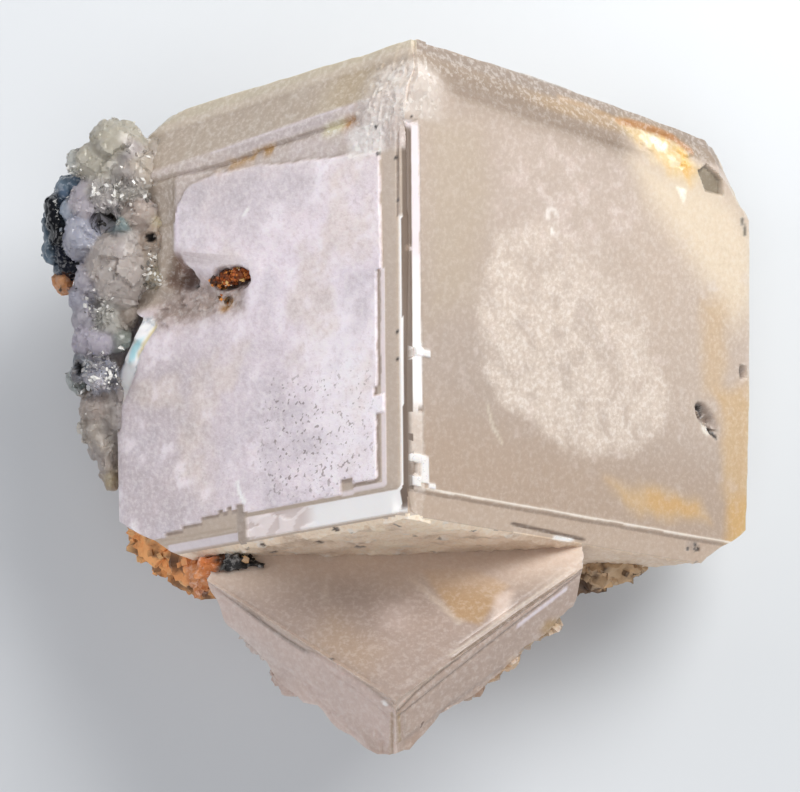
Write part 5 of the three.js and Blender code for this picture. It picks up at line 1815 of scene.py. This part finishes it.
def make_lights(look):
    # each lamp's name, place, size, power and colour
    for name, place, size, power, colour in (
        ("key", (0.09, 0.12, 0.135), 0.115, look.key_power, (1.0, 0.985, 0.96)),
        ("left", (-0.34, 0.06, 0.18), 0.24, 0.44, (0.98, 0.97, 1.0)),
        ("front", (-0.02, -0.42, 0.13), 0.34, 0.6, (1.0, 0.98, 0.96)),
        ("top", (0.0, -0.12, 0.42), 0.3, 0.4, (1.0, 0.99, 0.98)),
    ):
        data = bpy.data.lights.new(name, "AREA")
        data.size = size
        data.energy = power
        data.color = colour
        lamp = link(name, data)
        lamp.location = place
        way = Vector((0, 0, 0.01)) - lamp.location
        lamp.rotation_euler = way.to_track_quat("-Z", "Y").to_euler()
    world = bpy.data.worlds.new("studio")
    world.use_nodes = True
    background = world.node_tree.nodes["Background"]
    background.inputs["Color"].default_value = (0.9, 0.93, 1.0, 1)
    background.inputs["Strength"].default_value = look.room_light
    bpy.context.scene.world = world


# The camera looks straight down: its place from the near corner, how wide its view is for each
# millimetre of distance, and its sensor's width
CAMERA_PLACE = (-0.5, 7.0, 145.94)
FIELD = 800 / 2335
SENSOR = 36


def make_camera():
    data = bpy.data.cameras.new("camera")
    data.sensor_width = SENSOR
    data.lens = SENSOR / FIELD
    data.clip_start, data.clip_end = 0.01, 10
    camera = link("camera", data)
    camera.location = (NEAR_CORNER + np.array(CAMERA_PLACE)) * MM
    bpy.context.scene.camera = camera


# Add-on


def size(name, description, millimetres, most):
    """A length kept in metres."""
    return FloatProperty(
        name=name, description=description, default=millimetres * MM, min=0.0, max=most * MM,
        precision=5, subtype="DISTANCE", unit="LENGTH",
    )


def share(name, description, default, most=1.0):
    return FloatProperty(
        name=name, description=description, default=default, min=0.0, max=most, subtype="FACTOR")


def colour(name, description, red, green, blue):
    """A colour as it is shown on a screen, written as 0 to 255."""
    return FloatVectorProperty(
        name=name, description=description, size=3, min=0.0, max=1.0, subtype="COLOR_GAMMA",
        default=(red / 255, green / 255, blue / 255),
    )


class CalciteLook(bpy.types.PropertyGroup):
    """The two big calcite crystals."""

    plate_height: size("Plate height", "Step up to the growth plate of the left face", 0.16, 0.3)
    groove_depth: size("Groove depth", "Depth of the rusty groove above the plate", 0.26, 0.5)
    milkiness: share("Milkiness", "How much light scatters inside the crystals", 0.35)
    clearness: share("Clearness", "How much light passes through the clearest places", 0.4)
    # the plate's lilac tint is partly a painted reflection
    plate_colour_and_sheen: colour("Plate", "Colour of the left face's growth plate", 240, 228, 236)
    face_colour: colour("Right face", "Colour of the clear ground of the right face", 188, 172, 160)
    shelf_colour: colour("Shelf", "Colour between the plate and the ridge", 200, 183, 167)
    stain_colour: colour("Stain", "Colour of the ochre stains at the right", 216, 184, 138)


class SmallCrystalLook(bpy.types.PropertyGroup):
    """The small crystals on the left flank and the dark crust outside them."""

    crystal_spacing: size("Spacing", "Least distance between tiny crystals", 0.26, 2.0)
    crystal_width: size("Width", "Width of the tiny crystals", 0.16, 1.0)
    crystal_length: size("Length", "Length of the tiny crystals", 0.34, 2.0)
    clearness: share("Clearness", "How much light passes through the small crystals", 0.55)
    brightness: share("Brightness", "Brightness of the small crystals", 1.2, 2.0)
    crust_brightness: share("Crust brightness", "Brightness of the dark crust", 1.0, 2.0)


class RustLook(bpy.types.PropertyGroup):
    """The rusty grains in the pocket, and the rock."""

    grain_size: size("Grain size", "Width of the grains in the pocket", 0.16, 0.6)
    crumb_size: size("Crumb size", "Width of the loose crumbs on the rock", 0.4, 1.5)
    rust_colour: colour("Rust", "Colour of the rusty grains", 196, 104, 40)
    dark_colour: colour("Dark rock", "Colour of the dark veins in the rock", 46, 34, 26)


class StageLook(bpy.types.PropertyGroup):
    """The floor and the lights."""

    floor_colour: colour("Floor", "Colour of the sheet under the specimen", 216, 220, 224)
    key_power: FloatProperty(
        name="Key light", description="Power of the main light", default=0.43, min=0.0, max=20.0,
        unit="POWER")
    room_light: share("Room light", "Strength of the light from all sides", 0.21, 5.0)


class SpecimenSettings(bpy.types.PropertyGroup):
    """Everything that can be changed about the specimen."""

    calcite: PointerProperty(type=CalciteLook)
    small_crystals: PointerProperty(type=SmallCrystalLook)
    rust: PointerProperty(type=RustLook)
    stage: PointerProperty(type=StageLook)


class SPECIMEN_OT_stage(bpy.types.Operator):
    """Set up the floor, the lights and the camera"""

    bl_idname = "specimen.stage"
    bl_label = "Floor, lights and camera"

    def execute(self, context):
        look = context.scene.specimen.stage
        make_stage(look)
        make_lights(look)
        make_camera()
        context.scene.view_settings.view_transform = "Standard"
        return {"FINISHED"}


class SPECIMEN_OT_calcite(bpy.types.Operator):
    """Build the two big calcite crystals, grown together"""

    bl_idname = "specimen.calcite"
    bl_label = "Calcite crystals"

    def execute(self, context):
        make_crystals(context.scene.specimen.calcite)
        return {"FINISHED"}


class SPECIMEN_OT_small_crystals(bpy.types.Operator):
    """Build the group of small crystals on the left flank"""

    bl_idname = "specimen.small_crystals"
    bl_label = "Small crystals"

    def execute(self, context):
        make_cluster(context.scene.specimen.small_crystals)
        return {"FINISHED"}


class SPECIMEN_OT_dark_crust(bpy.types.Operator):
    """Build the blue-black crust outside the small crystals"""

    bl_idname = "specimen.dark_crust"
    bl_label = "Blue-black crust"

    def execute(self, context):
        make_dark_crust(context.scene.specimen.small_crystals)
        return {"FINISHED"}


class SPECIMEN_OT_pocket(bpy.types.Operator):
    """Build the rusty grains in the pocket of the left face"""

    bl_idname = "specimen.pocket"
    bl_label = "Rusty grains"

    def execute(self, context):
        make_pocket_crust(context.scene.specimen.rust)
        return {"FINISHED"}


class SPECIMEN_OT_rock(bpy.types.Operator):
    """Build the rusty rock that the crystals grew on"""

    bl_idname = "specimen.rock"
    bl_label = "Rusty rock"

    def execute(self, context):
        make_rock(context.scene.specimen.rust)
        return {"FINISHED"}


BUILDERS = (
    SPECIMEN_OT_stage, SPECIMEN_OT_calcite, SPECIMEN_OT_small_crystals, SPECIMEN_OT_dark_crust,
    SPECIMEN_OT_pocket, SPECIMEN_OT_rock,
)


class SPECIMEN_PT_panel(bpy.types.Panel):
    """Settings and build buttons of the specimen"""

    bl_idname = "SPECIMEN_PT_panel"
    bl_label = "Calcite specimen"
    bl_space_type = "VIEW_3D"
    bl_region_type = "UI"
    bl_category = "Specimen"

    def draw(self, context):
        settings = context.scene.specimen
        for look in (settings.calcite, settings.small_crystals, settings.rust, settings.stage):
            box = self.layout.box()
            for name in look.__annotations__:
                box.prop(look, name)
        for builder in BUILDERS:
            self.layout.operator(builder.bl_idname)


CLASSES = (
    CalciteLook, SmallCrystalLook, RustLook, StageLook, SpecimenSettings, *BUILDERS,
    SPECIMEN_PT_panel,
)


def register():
    for kind in CLASSES:
        bpy.utils.register_class(kind)
    bpy.types.Scene.specimen = PointerProperty(type=SpecimenSettings)


def unregister():
    del bpy.types.Scene.specimen
    for kind in reversed(CLASSES):
        bpy.utils.unregister_class(kind)


def main():
    register()
    for build in (
        bpy.ops.specimen.stage, bpy.ops.specimen.calcite, bpy.ops.specimen.small_crystals,
        bpy.ops.specimen.dark_crust, bpy.ops.specimen.pocket, bpy.ops.specimen.rock,
    ):
        if build() != {"FINISHED"}:
            raise RuntimeError(f"{build} didn't finish")


if __name__ == "__main__":
    main()
